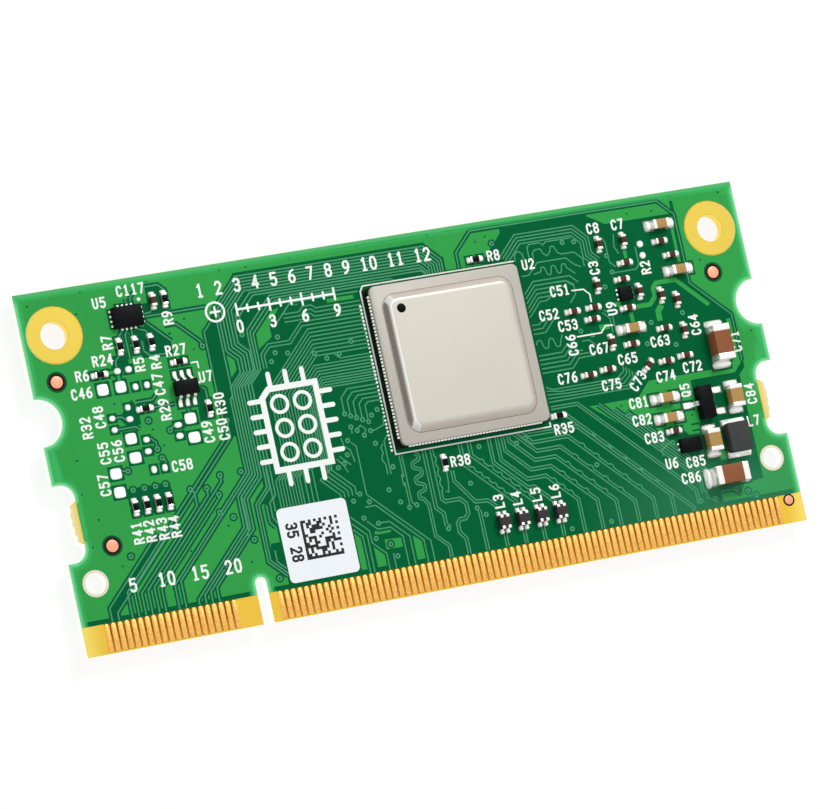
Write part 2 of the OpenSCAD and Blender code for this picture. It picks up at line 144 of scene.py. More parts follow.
def finishes():
    return bpy.context.scene.module_finishes


def stage():
    return bpy.context.scene.module_stage


# Modelling helpers
def activate(obj):
    bpy.ops.object.select_all(action="DESELECT")
    obj.select_set(True)
    bpy.context.view_layer.objects.active = obj


def primitive(add, place=(0, 0, 0), **sizes):
    """A primitive mesh, added with nothing else selected, whose origin stays at the frame's."""
    bpy.ops.object.select_all(action="DESELECT")
    add(location=place, **sizes)
    bpy.ops.object.transform_apply(location=True, rotation=False, scale=False)
    return bpy.context.object


def block(low, high):
    """A box between two corners, to be shaped further."""
    low, high = Vector(low), Vector(high)
    bpy.ops.object.select_all(action="DESELECT")
    bpy.ops.mesh.primitive_cube_add(size=1, location=(low + high) / 2)
    obj = bpy.context.object
    obj.name = "part"
    obj.scale = high - low
    bpy.ops.object.transform_apply(location=True, rotation=False, scale=True)
    return obj


def edit(obj, kind, test, work):
    """Opens the mesh, selects the faces or edges that pass the test, and runs the work on them."""
    activate(obj)
    bpy.ops.object.mode_set(mode="EDIT")
    bpy.ops.mesh.select_mode(type=kind)
    bpy.ops.mesh.select_all(action="DESELECT")
    mesh = bmesh.from_edit_mesh(obj.data)
    mesh.normal_update()
    items = mesh.faces if kind == "FACE" else mesh.edges
    for item in items:
        item.select_set(test(item))
    mesh.select_flush_mode()
    bmesh.update_edit_mesh(obj.data)
    work()
    bpy.ops.object.mode_set(mode="OBJECT")


def bevel_edges(obj, test, width, segments=2, profile=0.5):
    edit(obj, "EDGE", test,
         lambda: bpy.ops.mesh.bevel(offset=width, segments=segments, profile=profile, affect="EDGES"))


def every(item):
    return True


def upright(edge):
    along = edge.verts[1].co - edge.verts[0].co
    return abs(along.z) > 0.9 * along.length


def above(z):
    """A test for edges that reach above a height."""
    return lambda edge: max(v.co.z for v in edge.verts) > z


def joined(parts, name):
    """Several parts as one object, with their finishes kept."""
    activate(parts[0])
    for part in parts[1:]:
        part.select_set(True)
    bpy.ops.object.join()
    parts[0].name = name
    parts[0].data.name = name
    return parts[0]


def drop(obj):
    bpy.data.objects.remove(obj, do_unlink=True)


def wholly_above(z):
    """A test for edges and faces of which every corner is above a height."""
    return lambda item: all(v.co.z > z for v in item.verts)


def extent(corners):
    """The lowest and the highest coordinates of some corners."""
    return (Vector(pick(c[i] for c in corners) for i in range(3)) for pick in (min, max))


def shown(name, mesh):
    """An object for a mesh, in the scene's own collection."""
    obj = bpy.data.objects.new(name, mesh)
    bpy.context.scene.collection.objects.link(obj)
    return obj


def scattered(name, template, placings):
    """Copies of a modelled part in one mesh, one at each (x, y, z, angle)."""
    made = bmesh.new()
    for x, y, z, angle in placings:
        part = template.data.copy()
        part.transform(Matrix.Translation((x, y, z)) @ Matrix.Rotation(angle, 4, "Z"))
        made.from_mesh(part)
        bpy.data.meshes.remove(part)
    mesh = bpy.data.meshes.new(name)
    made.to_mesh(mesh)
    made.free()
    for finish in template.data.materials:
        mesh.materials.append(finish)
    return shown(name, mesh)


def dress(obj, finish):
    obj.data.materials.clear()
    obj.data.materials.append(FINISH[finish])
    return obj


def hand_over(obj, stands_for=(), smooth=35):
    """Brings a piece from millimetres to metres, smooths it and ties it to the board."""
    activate(obj)
    obj.scale = (MM, MM, MM)
    bpy.ops.object.transform_apply(location=True, rotation=True, scale=True)
    bpy.ops.object.shade_smooth_by_angle(angle=math.radians(smooth))
    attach(obj, "root")
    if stands_for:
        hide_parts(*stands_for)
    return obj


# What the frame says about the small parts
def box_mm(node):
    low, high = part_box(node)
    return low / MM, high / MM


def loose_parts(node):
    """The separate solids of a node, each as a list of its different corners in millimetres."""
    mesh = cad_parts[node].data
    number, corner_of = {}, []
    for vertex in mesh.vertices:
        key = tuple(round(c / MM, 3) for c in vertex.co)
        corner_of.append(number.setdefault(key, len(number)))
    group = list(range(len(number)))

    def root(i):
        while group[i] != i:
            group[i] = group[group[i]]
            i = group[i]
        return i

    for polygon in mesh.polygons:
        first, *rest = (root(corner_of[i]) for i in polygon.vertices)
        for other in rest:
            group[root(other)] = root(first)
    parts = {}
    for key, i in number.items():
        parts.setdefault(root(i), []).append(Vector(key))
    return sorted(parts.values(), key=lambda p: (round(p[0].x, 2), round(p[0].y, 2)))


def placing_of(corners):
    """Centre, angle, length, width, heights and the inner end of the caps of a two-ended part."""
    n = len(corners)
    x = sum(c.x for c in corners) / n
    y = sum(c.y for c in corners) / n
    xx = sum((c.x - x) ** 2 for c in corners)
    yy = sum((c.y - y) ** 2 for c in corners)
    xy = sum((c.x - x) * (c.y - y) for c in corners)
    angle = 0.5 * math.atan2(2 * xy, xx - yy)
    u = [(c.x - x) * math.cos(angle) + (c.y - y) * math.sin(angle) for c in corners]
    v = [(c.y - y) * math.cos(angle) - (c.x - x) * math.sin(angle) for c in corners]
    return {
        "x": x, "y": y, "angle": angle,
        "length": 2 * max(abs(i) for i in u), "width": 2 * max(abs(i) for i in v),
        "inner": min(abs(i) for i in u),
        "low": min(c.z for c in corners), "high": max(c.z for c in corners),
    }


# Outlines in board coordinates: origin at the lower left corner, x along the contacts
def rectangle(x, y, w, h, angle=0.0):
    c, s = math.cos(math.radians(angle)), math.sin(math.radians(angle))
    corners = [(-w / 2, -h / 2), (w / 2, -h / 2), (w / 2, h / 2), (-w / 2, h / 2)]
    return [(x + c * u - s * v, y + s * u + c * v) for u, v in corners]


def disc(x, y, r, sides=16):
    return [(x + r * math.cos(math.tau * i / sides), y + r * math.sin(math.tau * i / sides))
            for i in range(sides)]


def strip(points, width, rounded=False):
    """Outlines that together cover a line of the given width along the points."""
    half = width / 2
    outlines = []
    last = len(points) - 2
    directions = []
    for (x0, y0), (x1, y1) in zip(points, points[1:]):
        length = math.hypot(x1 - x0, y1 - y0)
        directions.append(((x1 - x0) / length, (y1 - y0) / length))
    reach = [0.0]
    for (ax, ay), (bx, by) in zip(directions, directions[1:]):
        turn = abs(math.atan2(ax * by - ay * bx, ax * bx + ay * by))
        reach.append(half * math.tan(min(turn, math.pi / 2) / 2))
    reach.append(0.0)
    for i, (dx, dy) in enumerate(directions):
        x0, y0 = points[i]
        x1, y1 = points[i + 1]
        x0, y0 = x0 - dx * reach[i], y0 - dy * reach[i]
        x1, y1 = x1 + dx * reach[i + 1], y1 + dy * reach[i + 1]
        nx, ny = -dy * half, dx * half
        outlines.append([(x0 - nx, y0 - ny), (x1 - nx, y1 - ny), (x1 + nx, y1 + ny), (x0 + nx, y0 + ny)])
    if rounded:
        outlines += [disc(*points[0], half, 12), disc(*points[last + 1], half, 12)]
        for i in range(1, last + 1):
            if reach[i] > half * 0.5:
                outlines.append(disc(*points[i], half, 12))
    return outlines


def beside(points, distance):
    """The same line moved sideways, to the left of its direction, with its corners mitred."""
    normals = []
    for (x0, y0), (x1, y1) in zip(points, points[1:]):
        length = math.hypot(x1 - x0, y1 - y0)
        normals.append(((y0 - y1) / length, (x1 - x0) / length))
    moved = []
    for i, (x, y) in enumerate(points):
        ax, ay = normals[max(i - 1, 0)]
        bx, by = normals[min(i, len(normals) - 1)]
        share = distance / (1 + ax * bx + ay * by)
        moved.append((x + (ax + bx) * share, y + (ay + by) * share))
    return moved


# Contacts along the lower edge, counted from the left
SHORT_GROUP_X = 2.15
SHORT_GROUP_N = 20
LONG_GROUP_X = 17.75
CONTACT_PITCH = 0.6


def contact_x(number):
    if number < SHORT_GROUP_N:
        return SHORT_GROUP_X + number * CONTACT_PITCH
    return LONG_GROUP_X + (number - SHORT_GROUP_N) * CONTACT_PITCH


def landed(points, x):
    """Slides the last corner along its leg so that the line ends straight over x."""
    (ax, ay), (bx, by), (_, end) = points[-3:]
    share = (x - ax) / (bx - ax)
    return points[:-2] + [(x, ay + (by - ay) * share), (x, end)]


def bus(points, lanes=(0,), pitch=None, contact=None, step=1):
    """Parallel traces beside the first one. With a contact, each ends over its own contact."""
    pitch = board().trace_pitch / MM if pitch is None else pitch
    lines = [beside(points, lane * pitch) for lane in lanes]
    if contact is not None:
        lines = [landed(line, contact_x(contact + i * step)) for i, line in enumerate(lines)]
    return lines


def between(first, last, count):
    """Traces spread evenly from one line to another with as many corners."""
    lines = []
    for i in range(count):
        share = i / (count - 1)
        lines.append([(ax + (bx - ax) * share, ay + (by - ay) * share)
                      for (ax, ay), (bx, by) in zip(first, last)])
    return lines


MEANDER_SAMPLES = 14


def meander(x0, y0, x1, y1, swing, period):
    """A line that swings from side to side in round turns, as a trace does to gain length."""
    length = math.hypot(x1 - x0, y1 - y0)
    turns = max(0.5, round(2 * length / period) / 2)
    dx, dy = (x1 - x0) / length, (y1 - y0) / length
    count = round(turns * MEANDER_SAMPLES)
    points = []
    for i in range(count + 1):
        off = swing * math.tanh(2.2 * math.sin(math.tau * turns * i / count))
        points.append((x0 + dx * length * i / count - dy * off, y0 + dy * length * i / count + dx * off))
    return points


def with_lumps(points, leg, count, height=0.17, length=0.3):
    """Adds small sideways steps to one leg of a line."""
    (x0, y0), (x1, y1) = points[leg], points[leg + 1]
    total = math.hypot(x1 - x0, y1 - y0)
    dx, dy = (x1 - x0) / total, (y1 - y0) / total
    added = []
    for i in range(count):
        middle = total * (i + 1) / (count + 1)
        for along, off in ((-length, 0), (-length + height, height), (length - height, height),
                           (length, 0)):
            added.append((x0 + dx * (middle + along) - dy * off, y0 + dy * (middle + along) + dx * off))
    return points[:leg + 1] + added + points[leg + 1:]


CONTACT_TOP = 2.62


def down(points):
    """The line carried straight down from its last corner to the contacts' upper ends."""
    return points + [(points[-1][0], CONTACT_TOP)]


def left_routes():
    """Traces of the left third: the wide bus, its fans down to the short contact group, and links."""
    lines = [
        down([(38.7, 27.15), (38.7, 28.25), (37.3, 29.65), (19.75, 29.65), (17.33, 27.23), (17.33, 19.6),
         (17.05, 19.32), (17.05, 12.95), (8.75, 4.65)]),
        down([(38.45, 27.15), (38.45, 28.1), (37.17, 29.38), (19.85, 29.38), (17.6, 27.13), (17.6, 23.4),
         (18.43, 22.57), (18.43, 21.4), (17.3, 20.27), (17.3, 12.85), (9.35, 4.9)])]
    lines += between(
        down([(38.2, 27.15), (38.2, 27.95), (37.04, 29.11), (19.95, 29.11), (17.9, 27.06), (17.9, 23.55),
         (18.74, 22.71), (18.74, 21.42), (17.55, 20.23), (17.55, 12.74), (15.85, 11.04), (15.85, 8.4),
         (10.55, 3.1)]),
        down([(37.4, 27.15), (37.4, 27.7), (36.8, 28.3), (20.3, 28.3), (18.8, 26.8), (18.8, 23.95),
         (19.64, 23.11), (19.64, 21.5), (18.3, 20.16), (18.3, 12.35), (16.65, 10.7), (16.65, 8.1),
         (12.35, 3.8)]), 4)
    lines += between(
        [(37.2, 27.15), (37.2, 27.45), (36.6, 28.05), (20.75, 28.05), (19.1, 26.4), (19.1, 25.5)],
        [(37.0, 27.15), (37.0, 27.35), (36.55, 27.8), (21.0, 27.8), (19.4, 26.2), (19.4, 25.0)], 2)
    lines += between(
        [(36.9, 27.15), (36.9, 27.3), (36.65, 27.55), (22.45, 27.55), (19.79, 24.89), (19.79, 21.4),
         (18.6, 20.21), (18.6, 13.0)],
        [(31.0, 27.03), (30.9, 27.04), (30.8, 27.05), (22.85, 27.05), (20.3, 24.5), (20.3, 21.4),
         (19.2, 20.3), (19.2, 13.0)], 3)
    lines += bus([(18.6, 13.0), (18.6, 11.4), (17.3, 10.1), (17.3, 5.1), (18.75, 3.65)], range(2), 0.24)
    lines += [
        [(18.9, 13.0), (18.9, 10.4), (18.55, 10.05), (18.55, 8.8), (18.85, 8.2)],
        [(19.2, 13.0), (19.2, 10.6), (18.9, 10.3), (18.9, 9.2)],
        [(30.5, 26.68), (24.2, 26.68), (22.3, 24.78)], [(18.2, 9.9), (18.2, 8.4), (18.6, 7.9)],
        [(18.1, 6.0), (18.1, 5.0), (18.8, 4.3)], [(16.2, 10.9), (16.2, 8.2), (16.0, 7.6)]]
    lines += bus(down([(16.75, 26.1), (16.0, 25.35), (16.0, 16.25), (4.55, 4.8)]), contact=4)
    lines += bus(down([(16.35, 17.4), (16.35, 16.1), (5.15, 4.9)]), contact=5)
    lines += bus(down([(11.85, 12.35), (12.15, 12.05), (12.15, 10.9), (5.75, 4.5)]), contact=6)
    lines += bus(down([(13.3, 12.1), (13.3, 11.6), (6.35, 4.65)]), contact=7)
    lines += bus(down([(14.7, 13.0), (14.7, 12.55), (6.95, 4.8)]), contact=8)
    lines += bus(down([(14.25, 11.5), (14.25, 11.25), (7.55, 4.55)]), contact=9)
    lines += bus(down([(8.2, 9.2), (2.75, 3.75)]), contact=1)
    lines += bus(down([(9.6, 9.5), (3.35, 3.25)]), contact=2)
    lines += [
        [(11.1, 27.48), (16.6, 27.48)], [(12.6, 26.45), (13.7, 26.45), (15.45, 24.7), (15.6, 24.3)],
        [(11.1, 26.95), (12.2, 25.85), (13.0, 25.05)], [(11.6, 30.0), (12.8, 30.0), (13.3, 29.5)],
        [(11.0, 27.75), (11.6, 27.75), (12.0, 28.1)], [(10.15, 26.6), (10.9, 26.3), (11.15, 25.95)],
        [(8.9, 26.6), (8.45, 26.15)], [(9.7, 26.6), (9.7, 25.9)],
        [(9.35, 26.6), (9.05, 26.2), (9.05, 24.1)],
        [(10.4, 25.5), (10.4, 24.6), (10.9, 24.1), (12.6, 24.1)], [(8.3, 24.7), (7.75, 24.15), (7.7, 23.6)],
        [(8.75, 20.4), (10.25, 20.4), (10.65, 20.8)], [(6.7, 19.4), (7.2, 19.4), (7.6, 19.1)],
        [(6.6, 18.38), (8.3, 18.38), (8.6, 18.1)], [(10.0, 19.75), (12.1, 19.75)],
        [(9.35, 17.2), (9.75, 16.8), (9.75, 16.3)], [(6.3, 14.9), (6.75, 14.8)],
        [(10.3, 14.9), (10.1, 15.4)], [(11.65, 17.95), (11.3, 17.7)], [(13.2, 19.2), (13.2, 18.7)],
        [(14.75, 20.8), (15.05, 20.5), (15.05, 19.5)], [(9.7, 29.2), (9.7, 29.0)],
        [(10.15, 28.9), (10.15, 29.3), (10.6, 29.7)]]
    return lines


def middle_routes():
    """Traces between the left bus and the processor, down to the long contact group."""
    lines = between(
        [(30.5, 24.15), (25.25, 24.15), (20.65, 19.55), (20.65, 12.9), (19.5, 11.75), (19.5, 9.3)],
        [(30.5, 21.75), (25.5, 21.75), (22.55, 18.8), (22.55, 12.9), (21.4, 11.75), (21.4, 9.3)], 8)
    lines += between(
        [(30.5, 20.95), (25.1, 20.95), (22.8, 18.65), (22.8, 12.9), (21.65, 11.75), (21.65, 9.3)],
        [(30.5, 20.12), (25.4, 20.12), (23.6, 18.32), (23.6, 12.9), (22.9, 12.2), (22.9, 9.3)], 4)
    lines += between(
        [(30.5, 19.84), (25.5, 19.84), (23.9, 18.24), (23.9, 11.6), (23.45, 11.15), (24.95, 9.65),
         (24.95, 9.3)],
        [(30.5, 18.9), (25.8, 18.9), (24.7, 17.8), (24.7, 12.0), (24.6, 11.9), (26.4, 10.1), (26.4, 9.4)],
        5)
    lines += between(
        [(30.5, 25.85), (26.35, 25.85), (26.05, 26.15), (25.2, 26.15), (24.8, 25.75), (23.3, 25.75)],
        [(30.5, 25.15), (26.1, 25.15), (25.8, 25.45), (25.4, 25.45), (25.0, 25.05), (23.3, 25.05)], 3)
    lines += between(
        [(30.5, 24.85), (24.75, 24.85), (23.35, 23.45), (21.4, 23.45), (20.6, 22.65), (20.6, 21.4)],
        [(30.5, 24.5), (24.8, 24.5), (23.45, 23.15), (21.5, 23.15), (20.88, 22.53), (20.88, 21.4)], 2)
    lines += between(
        [(30.5, 18.5), (27.6, 18.5), (26.9, 17.8), (26.9, 16.5)],
        [(30.5, 17.1), (29.2, 17.1), (28.9, 16.8), (28.9, 15.5)], 5)
    lines += [
        [(30.5, 21.22), (27.6, 21.22), (27.1, 21.72), (26.4, 21.72)],
        down([(26.9, 13.9), (27.3, 13.5), (27.3, 9.25), (32.15, 4.4)]),
        down([(26.9, 8.2), (27.9, 8.2), (31.55, 4.55)]), down([(27.9, 6.65), (28.8, 6.65), (30.35, 5.1)]),
        down([(26.8, 7.0), (27.65, 6.15), (28.8, 6.15), (29.75, 5.2)]),
        down([(25.4, 7.6), (26.85, 6.15), (26.85, 5.1), (27.95, 4.0)]), down([(25.4, 7.0), (26.55, 5.85)]),
        down([(25.4, 6.5), (26.15, 5.75)]), down([(28.55, 3.9)]),
        [(30.3, 14.0), (29.9, 13.5), (29.9, 10.6)],
        [(29.75, 13.3), (29.5, 13.0), (29.6, 12.5), (29.4, 12.2), (29.4, 11.9), (29.6, 11.5), (29.6, 10.6)],
        [(26.1, 14.4), (26.2, 13.7), (26.7, 13.3), (26.9, 12.2)], [(25.6, 12.9), (26.5, 12.0)],
        [(25.3, 12.7), (25.8, 12.1), (26.1, 11.4)],
        [(27.6, 14.9), (28.1, 15.2), (28.5, 14.8), (28.3, 14.4)],
        [(28.9, 14.6), (29.3, 14.6), (30.2, 14.9), (30.3, 15.6)], [(27.2, 15.2), (27.2, 14.6)]]
    return lines


def processor_routes():
    """Traces that leave the processor downwards, singly, as pairs and through the line filters."""
    lines = bus([(31.22, 12.1), (31.22, 7.9), (31.5, 7.6)])
    lines += [with_lumps([(30.97, 12.1), (30.97, 7.75), (30.75, 7.5)], 0, 1, -0.15)]
    snake = meander(32.35, 12.0, 32.35, 8.0, 0.36, 1.45)
    lines += bus(snake + down([(32.7, 7.45), (32.7, 4.7), (33.75, 3.65)]), (0.42, -0.42))
    lines += [
        [(33.15, 12.1), (33.15, 7.0), (33.75, 6.4), (33.75, 5.3)],
        [(33.42, 12.1), (33.42, 7.1), (34.0, 6.52), (34.0, 5.55), (34.3, 5.25)]]
    curve = down(
        [(34.0, 12.1), (34.0, 7.7), (34.25, 7.45), (35.6, 7.45), (36.1, 6.95), (36.1, 6.1), (35.75, 5.7),
         (35.25, 5.7), (34.95, 5.4), (34.95, 4.6), (35.42, 4.0)])
    left, right = beside(curve, -0.13), beside(curve, 0.13)
    lines += [left, with_lumps(right, 0, 4, 0.12, 0.25)]
    lines += [[(34.95, 10.0), (34.9, 9.0), (34.75, 8.2), (34.5, 8.3)]]
    lines += bus([(35.35, 10.0), (35.35, 9.0), (36.9, 6.85), (38.1, 6.75), (38.75, 6.1)], range(2), 0.25)
    lines += bus(down([(37.05, 6.2)]), range(2), 0.25)
    for x_start, x_end, y_end in ((36.55, 40.5, 6.3), (37.4, 42.3, 6.0)):
        y_turn = y_end + x_end - x_start
        first, second = bus(
            [(x_start, 12.1), (x_start, y_turn), (x_end, y_end), (x_end, 5.6)], range(2), 0.28)
        lines += [first, with_lumps(second, 1, 6, 0.14, 0.24)]
    lines += bus(
        [(39.3, 12.1), (39.3, 9.95), (42.05, 7.2), (42.6, 7.2), (44.1, 5.7), (44.1, 5.4)], range(2), 0.25)
    for i in range(4):
        lines += bus([(38.93 + 1.8 * i, 4.1), (38.93 + 1.8 * i, CONTACT_TOP)], range(2), 0.25)
    levels = (7.95, 8.7, 9.45, 10.2, 11.0, 11.7)
    for i, level in enumerate(levels):
        x_end = 46.35 + 1.75 * i
        x_start = 40.05 + 0.55 * i
        y_drop = min(12.1, level + 2.1)
        y_end = max(4.4, 5.5 - 0.35 * i)
        x_flat = min(x_start + y_drop - level, 44.2)
        line = [
            (x_start, 12.1), (x_start, y_drop), (x_flat, level), (x_end + y_end - level, level),
            (x_end, y_end), (x_end, CONTACT_TOP)]
        if y_drop == 12.1:
            line = line[1:]
        first, second = bus(line, range(2), 0.25)
        lines += [first, with_lumps(second, len(second) - 3, 3 + i // 2, 0.14, 0.26)]
    starts = ((46.9, 13.0), (48.3, 13.65), (50.2, 13.3), (51.6, 12.6), (52.7, 12.2))
    for i, (x, y) in enumerate(starts):
        x_end = 56.95 + 0.62 * i
        y_end = y - (x_end - x)
        lead = [(45.8, y), (x, y)] if i < 2 else [(x, y)]
        lines += bus(lead + [(x_end, y_end), (x_end, max(CONTACT_TOP, y_end - 1.2))], range(2), 0.24)
    return lines


def right_routes():
    """Traces of the right third: contours, length-matched wiggles and the long border trace."""
    lines = bus(
        [(40.2, 27.2), (40.2, 28.6), (41.9, 30.3), (60.1, 30.3), (61.5, 28.9), (61.5, 22.6),
         (64.85, 19.25), (64.85, 15.0)])
    lines += bus(
        [(44.2, 27.6), (45.95, 29.35), (51.6, 29.35), (52.85, 28.1), (52.85, 26.75), (53.5, 26.1)],
        range(0, -4, -1), 0.29)
    lines += between(
        [(45.75, 24.0), (46.75, 25.0), (50.3, 25.0), (51.0, 24.3)],
        [(45.75, 21.9), (47.0, 23.15), (47.6, 23.15), (48.1, 23.4)], 6)
    lines += between(
        [(45.75, 21.2), (46.5, 21.2), (47.6, 22.3)], [(45.75, 20.4), (46.9, 20.4), (48.2, 21.7)], 3)
    lines += between(
        [(45.75, 18.45), (48.0, 18.45), (48.5, 18.95), (49.0, 18.95)],
        [(45.75, 16.9), (48.7, 16.9), (49.5, 17.7), (51.0, 17.7)], 5)
    lines += between(
        [(45.75, 15.65), (46.4, 15.35), (52.6, 15.35), (53.4, 15.9), (53.4, 16.4)],
        [(45.75, 14.3), (49.0, 14.3), (53.7, 14.3), (54.4, 15.0), (54.4, 15.6)], 5)
    lines += bus([(52.6, 21.3), (53.2, 20.7), (53.2, 19.4)], range(2), 0.3)
    lines += [
        [(46.9, 26.9), (46.9, 28.05), (47.15, 28.3), (48.15, 28.3), (48.45, 28.05), (48.75, 28.3),
         (51.2, 28.3)],
        [(47.3, 27.0), (47.3, 27.5), (47.6, 27.75), (48.1, 27.75), (48.3, 27.3), (48.6, 27.05),
         (48.95, 27.35), (49.1, 27.8), (49.4, 27.8), (49.65, 27.2), (50.0, 27.0), (51.2, 27.0),
         (51.9, 26.3), (51.9, 25.6)],
        [(45.55, 27.0), (45.55, 27.5), (45.8, 27.8), (46.1, 27.8), (46.35, 27.5), (46.35, 27.1)],
        [(45.8, 25.6), (46.5, 25.6), (47.55, 26.6), (50.3, 26.6), (51.0, 25.9), (51.6, 25.6)],
        [(47.0, 25.6)] + meander(47.7, 25.75, 50.2, 25.75, 0.38, 1.0) + [(50.9, 25.1)],
        [(48.9, 24.6), (49.9, 24.6), (50.5, 24.2), (50.5, 23.3), (49.8, 22.6)],
        meander(45.8, 19.4, 48.1, 19.4, 0.4, 1.15) + [(48.4, 20.0)],
        [(50.1, 19.1), (50.8, 19.1), (51.3, 18.6)],
        [(54.1, 27.9), (54.35, 27.4), (54.35, 25.6), (54.85, 25.1)],
        [(54.5, 24.6), (56.7, 24.6), (57.1, 25.0), (57.1, 26.6)],
        [(55.3, 28.0), (55.1, 26.9), (55.4, 26.2)], [(61.3, 12.3), (61.3, 11.4), (62.0, 10.8)],
        [(56.3, 9.0), (55.3, 8.4), (55.3, 7.9)], [(58.6, 4.3), (58.6, 3.6), (59.5, 3.0)],
        [(60.1, 3.9), (61.2, 3.9), (61.9, 3.3)]]
    return lines


def heavy_routes():
    """Wide traces that carry supply current, as (width, points)."""
    return [
        (0.42, [(56.0, 21.3), (57.3, 21.3), (57.9, 21.9), (57.9, 22.7), (58.3, 23.1), (60.2, 23.1),
         (61.7, 21.6), (62.9, 20.4)]), (0.35, [(56.0, 26.4), (56.0, 25.7)]),
        (0.3, [(61.0, 27.8), (61.0, 24.6)]), (0.3, [(6.9, 23.25), (7.5, 23.25)]),
        (0.28, [(7.72, 22.9), (7.72, 22.4)]), (0.5, [(54.3, 22.0), (54.3, 21.6)]),
        (0.4, [(55.3, 20.9), (55.3, 20.0)]), (0.55, [(57.9, 19.7), (57.9, 20.6), (58.4, 21.1)]),
        (0.5, [(53.0, 20.0), (52.0, 20.0)]), (0.4, [(58.6, 9.9), (59.4, 9.9)]),
        (0.6, [(61.0, 6.6), (61.0, 7.4)])]


# Copper areas, and areas cleared of copper, by their corners
POURS = (
    ((0.3, 2.95), (18.7, 2.95), (18.7, 9.2), (17.2, 10.7), (16.9, 13.0), (16.9, 16.1), (15.95, 16.2),
     (15.85, 25.4), (19.6, 29.9), (19.6, 30.7), (0.3, 30.7)),
    ((19.6, 29.95), (37.35, 29.95), (38.95, 28.35), (38.95, 27.2), (42.2, 27.2), (44.7, 29.7),
     (44.7, 30.1), (67.3, 30.1), (67.3, 30.7), (19.6, 30.7)),
    ((53.1, 30.1), (53.1, 29.95), (54.7, 29.0), (61.3, 29.0), (61.3, 30.1)),
    ((61.6, 30.1), (61.6, 22.7), (64.95, 19.35), (64.95, 14.4), (64.3, 13.8), (64.3, 4.4), (60.0, 4.0),
     (60.0, 2.95), (67.3, 2.95), (67.3, 30.1)),
    ((49.4, 13.35), (54.2, 13.35), (55.5, 14.65), (63.5, 14.65), (64.2, 15.35), (64.2, 18.9),
     (64.75, 18.9), (64.75, 14.9), (63.9, 14.05), (59.5, 14.05), (59.5, 9.3), (58.2, 9.3), (57.4, 10.3),
     (54.2, 9.3), (53.0, 10.4)), ((25.4, 2.95), (26.0, 2.95), (26.0, 6.0), (25.4, 6.2)),
    ((26.9, 2.95), (27.8, 2.95), (27.8, 3.9), (26.9, 5.0)),
    ((27.1, 5.7), (28.7, 5.7), (28.9, 6.1), (27.4, 6.1)),
    ((28.0, 4.3), (29.6, 4.3), (29.6, 5.1), (28.0, 5.2)),
    ((30.6, 2.95), (31.35, 2.95), (31.35, 4.5), (30.6, 5.1)),
    ((20.5, 23.1), (20.55, 24.5), (22.2, 26.2), (23.1, 26.4), (21.9, 25.0), (21.9, 24.0), (21.3, 23.6)),
    ((27.5, 26.1), (30.0, 26.1), (30.0, 26.45), (27.5, 26.45)),
    ((24.0, 26.35), (24.9, 26.35), (24.7, 26.6), (24.0, 26.6)),
    ((17.7, 7.0), (18.1, 7.0), (18.1, 10.0), (17.7, 10.0)),
    ((18.3, 12.0), (18.3, 11.5), (17.0, 10.2), (17.0, 7.5), (16.85, 7.5), (16.85, 10.6)),
    ((17.55, 21.1), (18.15, 21.7), (18.15, 22.8), (17.55, 23.4)))
CLEARINGS = (
    ((2.9, 2.7), (2.9, 3.7), (8.3, 9.1), (9.4, 9.1), (3.7, 3.5), (3.5, 2.7)),
    ((11.0, 28.6), (11.6, 28.6), (11.6, 30.1), (12.9, 30.1), (13.5, 29.5), (13.5, 28.0), (12.7, 27.3),
     (11.2, 27.3), (11.2, 26.9), (12.9, 25.1), (12.9, 24.0), (10.2, 24.0), (9.9, 26.4), (10.9, 26.7)),
    ((7.5, 24.6), (8.85, 24.6), (8.85, 23.5), (7.3, 22.9)),
    ((7.0, 19.3), (7.6, 18.5), (8.8, 18.5), (8.8, 19.9), (8.4, 20.7), (7.4, 19.7)),
    ((14.2, 20.9), (14.95, 20.9), (14.95, 17.9), (14.0, 17.9)),
    ((6.4, 10.9), (10.2, 10.9), (10.2, 13.3), (6.4, 13.3)),
    ((60.9, 10.6), (62.4, 10.6), (62.4, 13.6), (60.9, 13.6)),
    ((17.25, 5.0), (17.85, 5.0), (18.7, 4.0), (18.7, 6.6), (17.9, 6.6)))
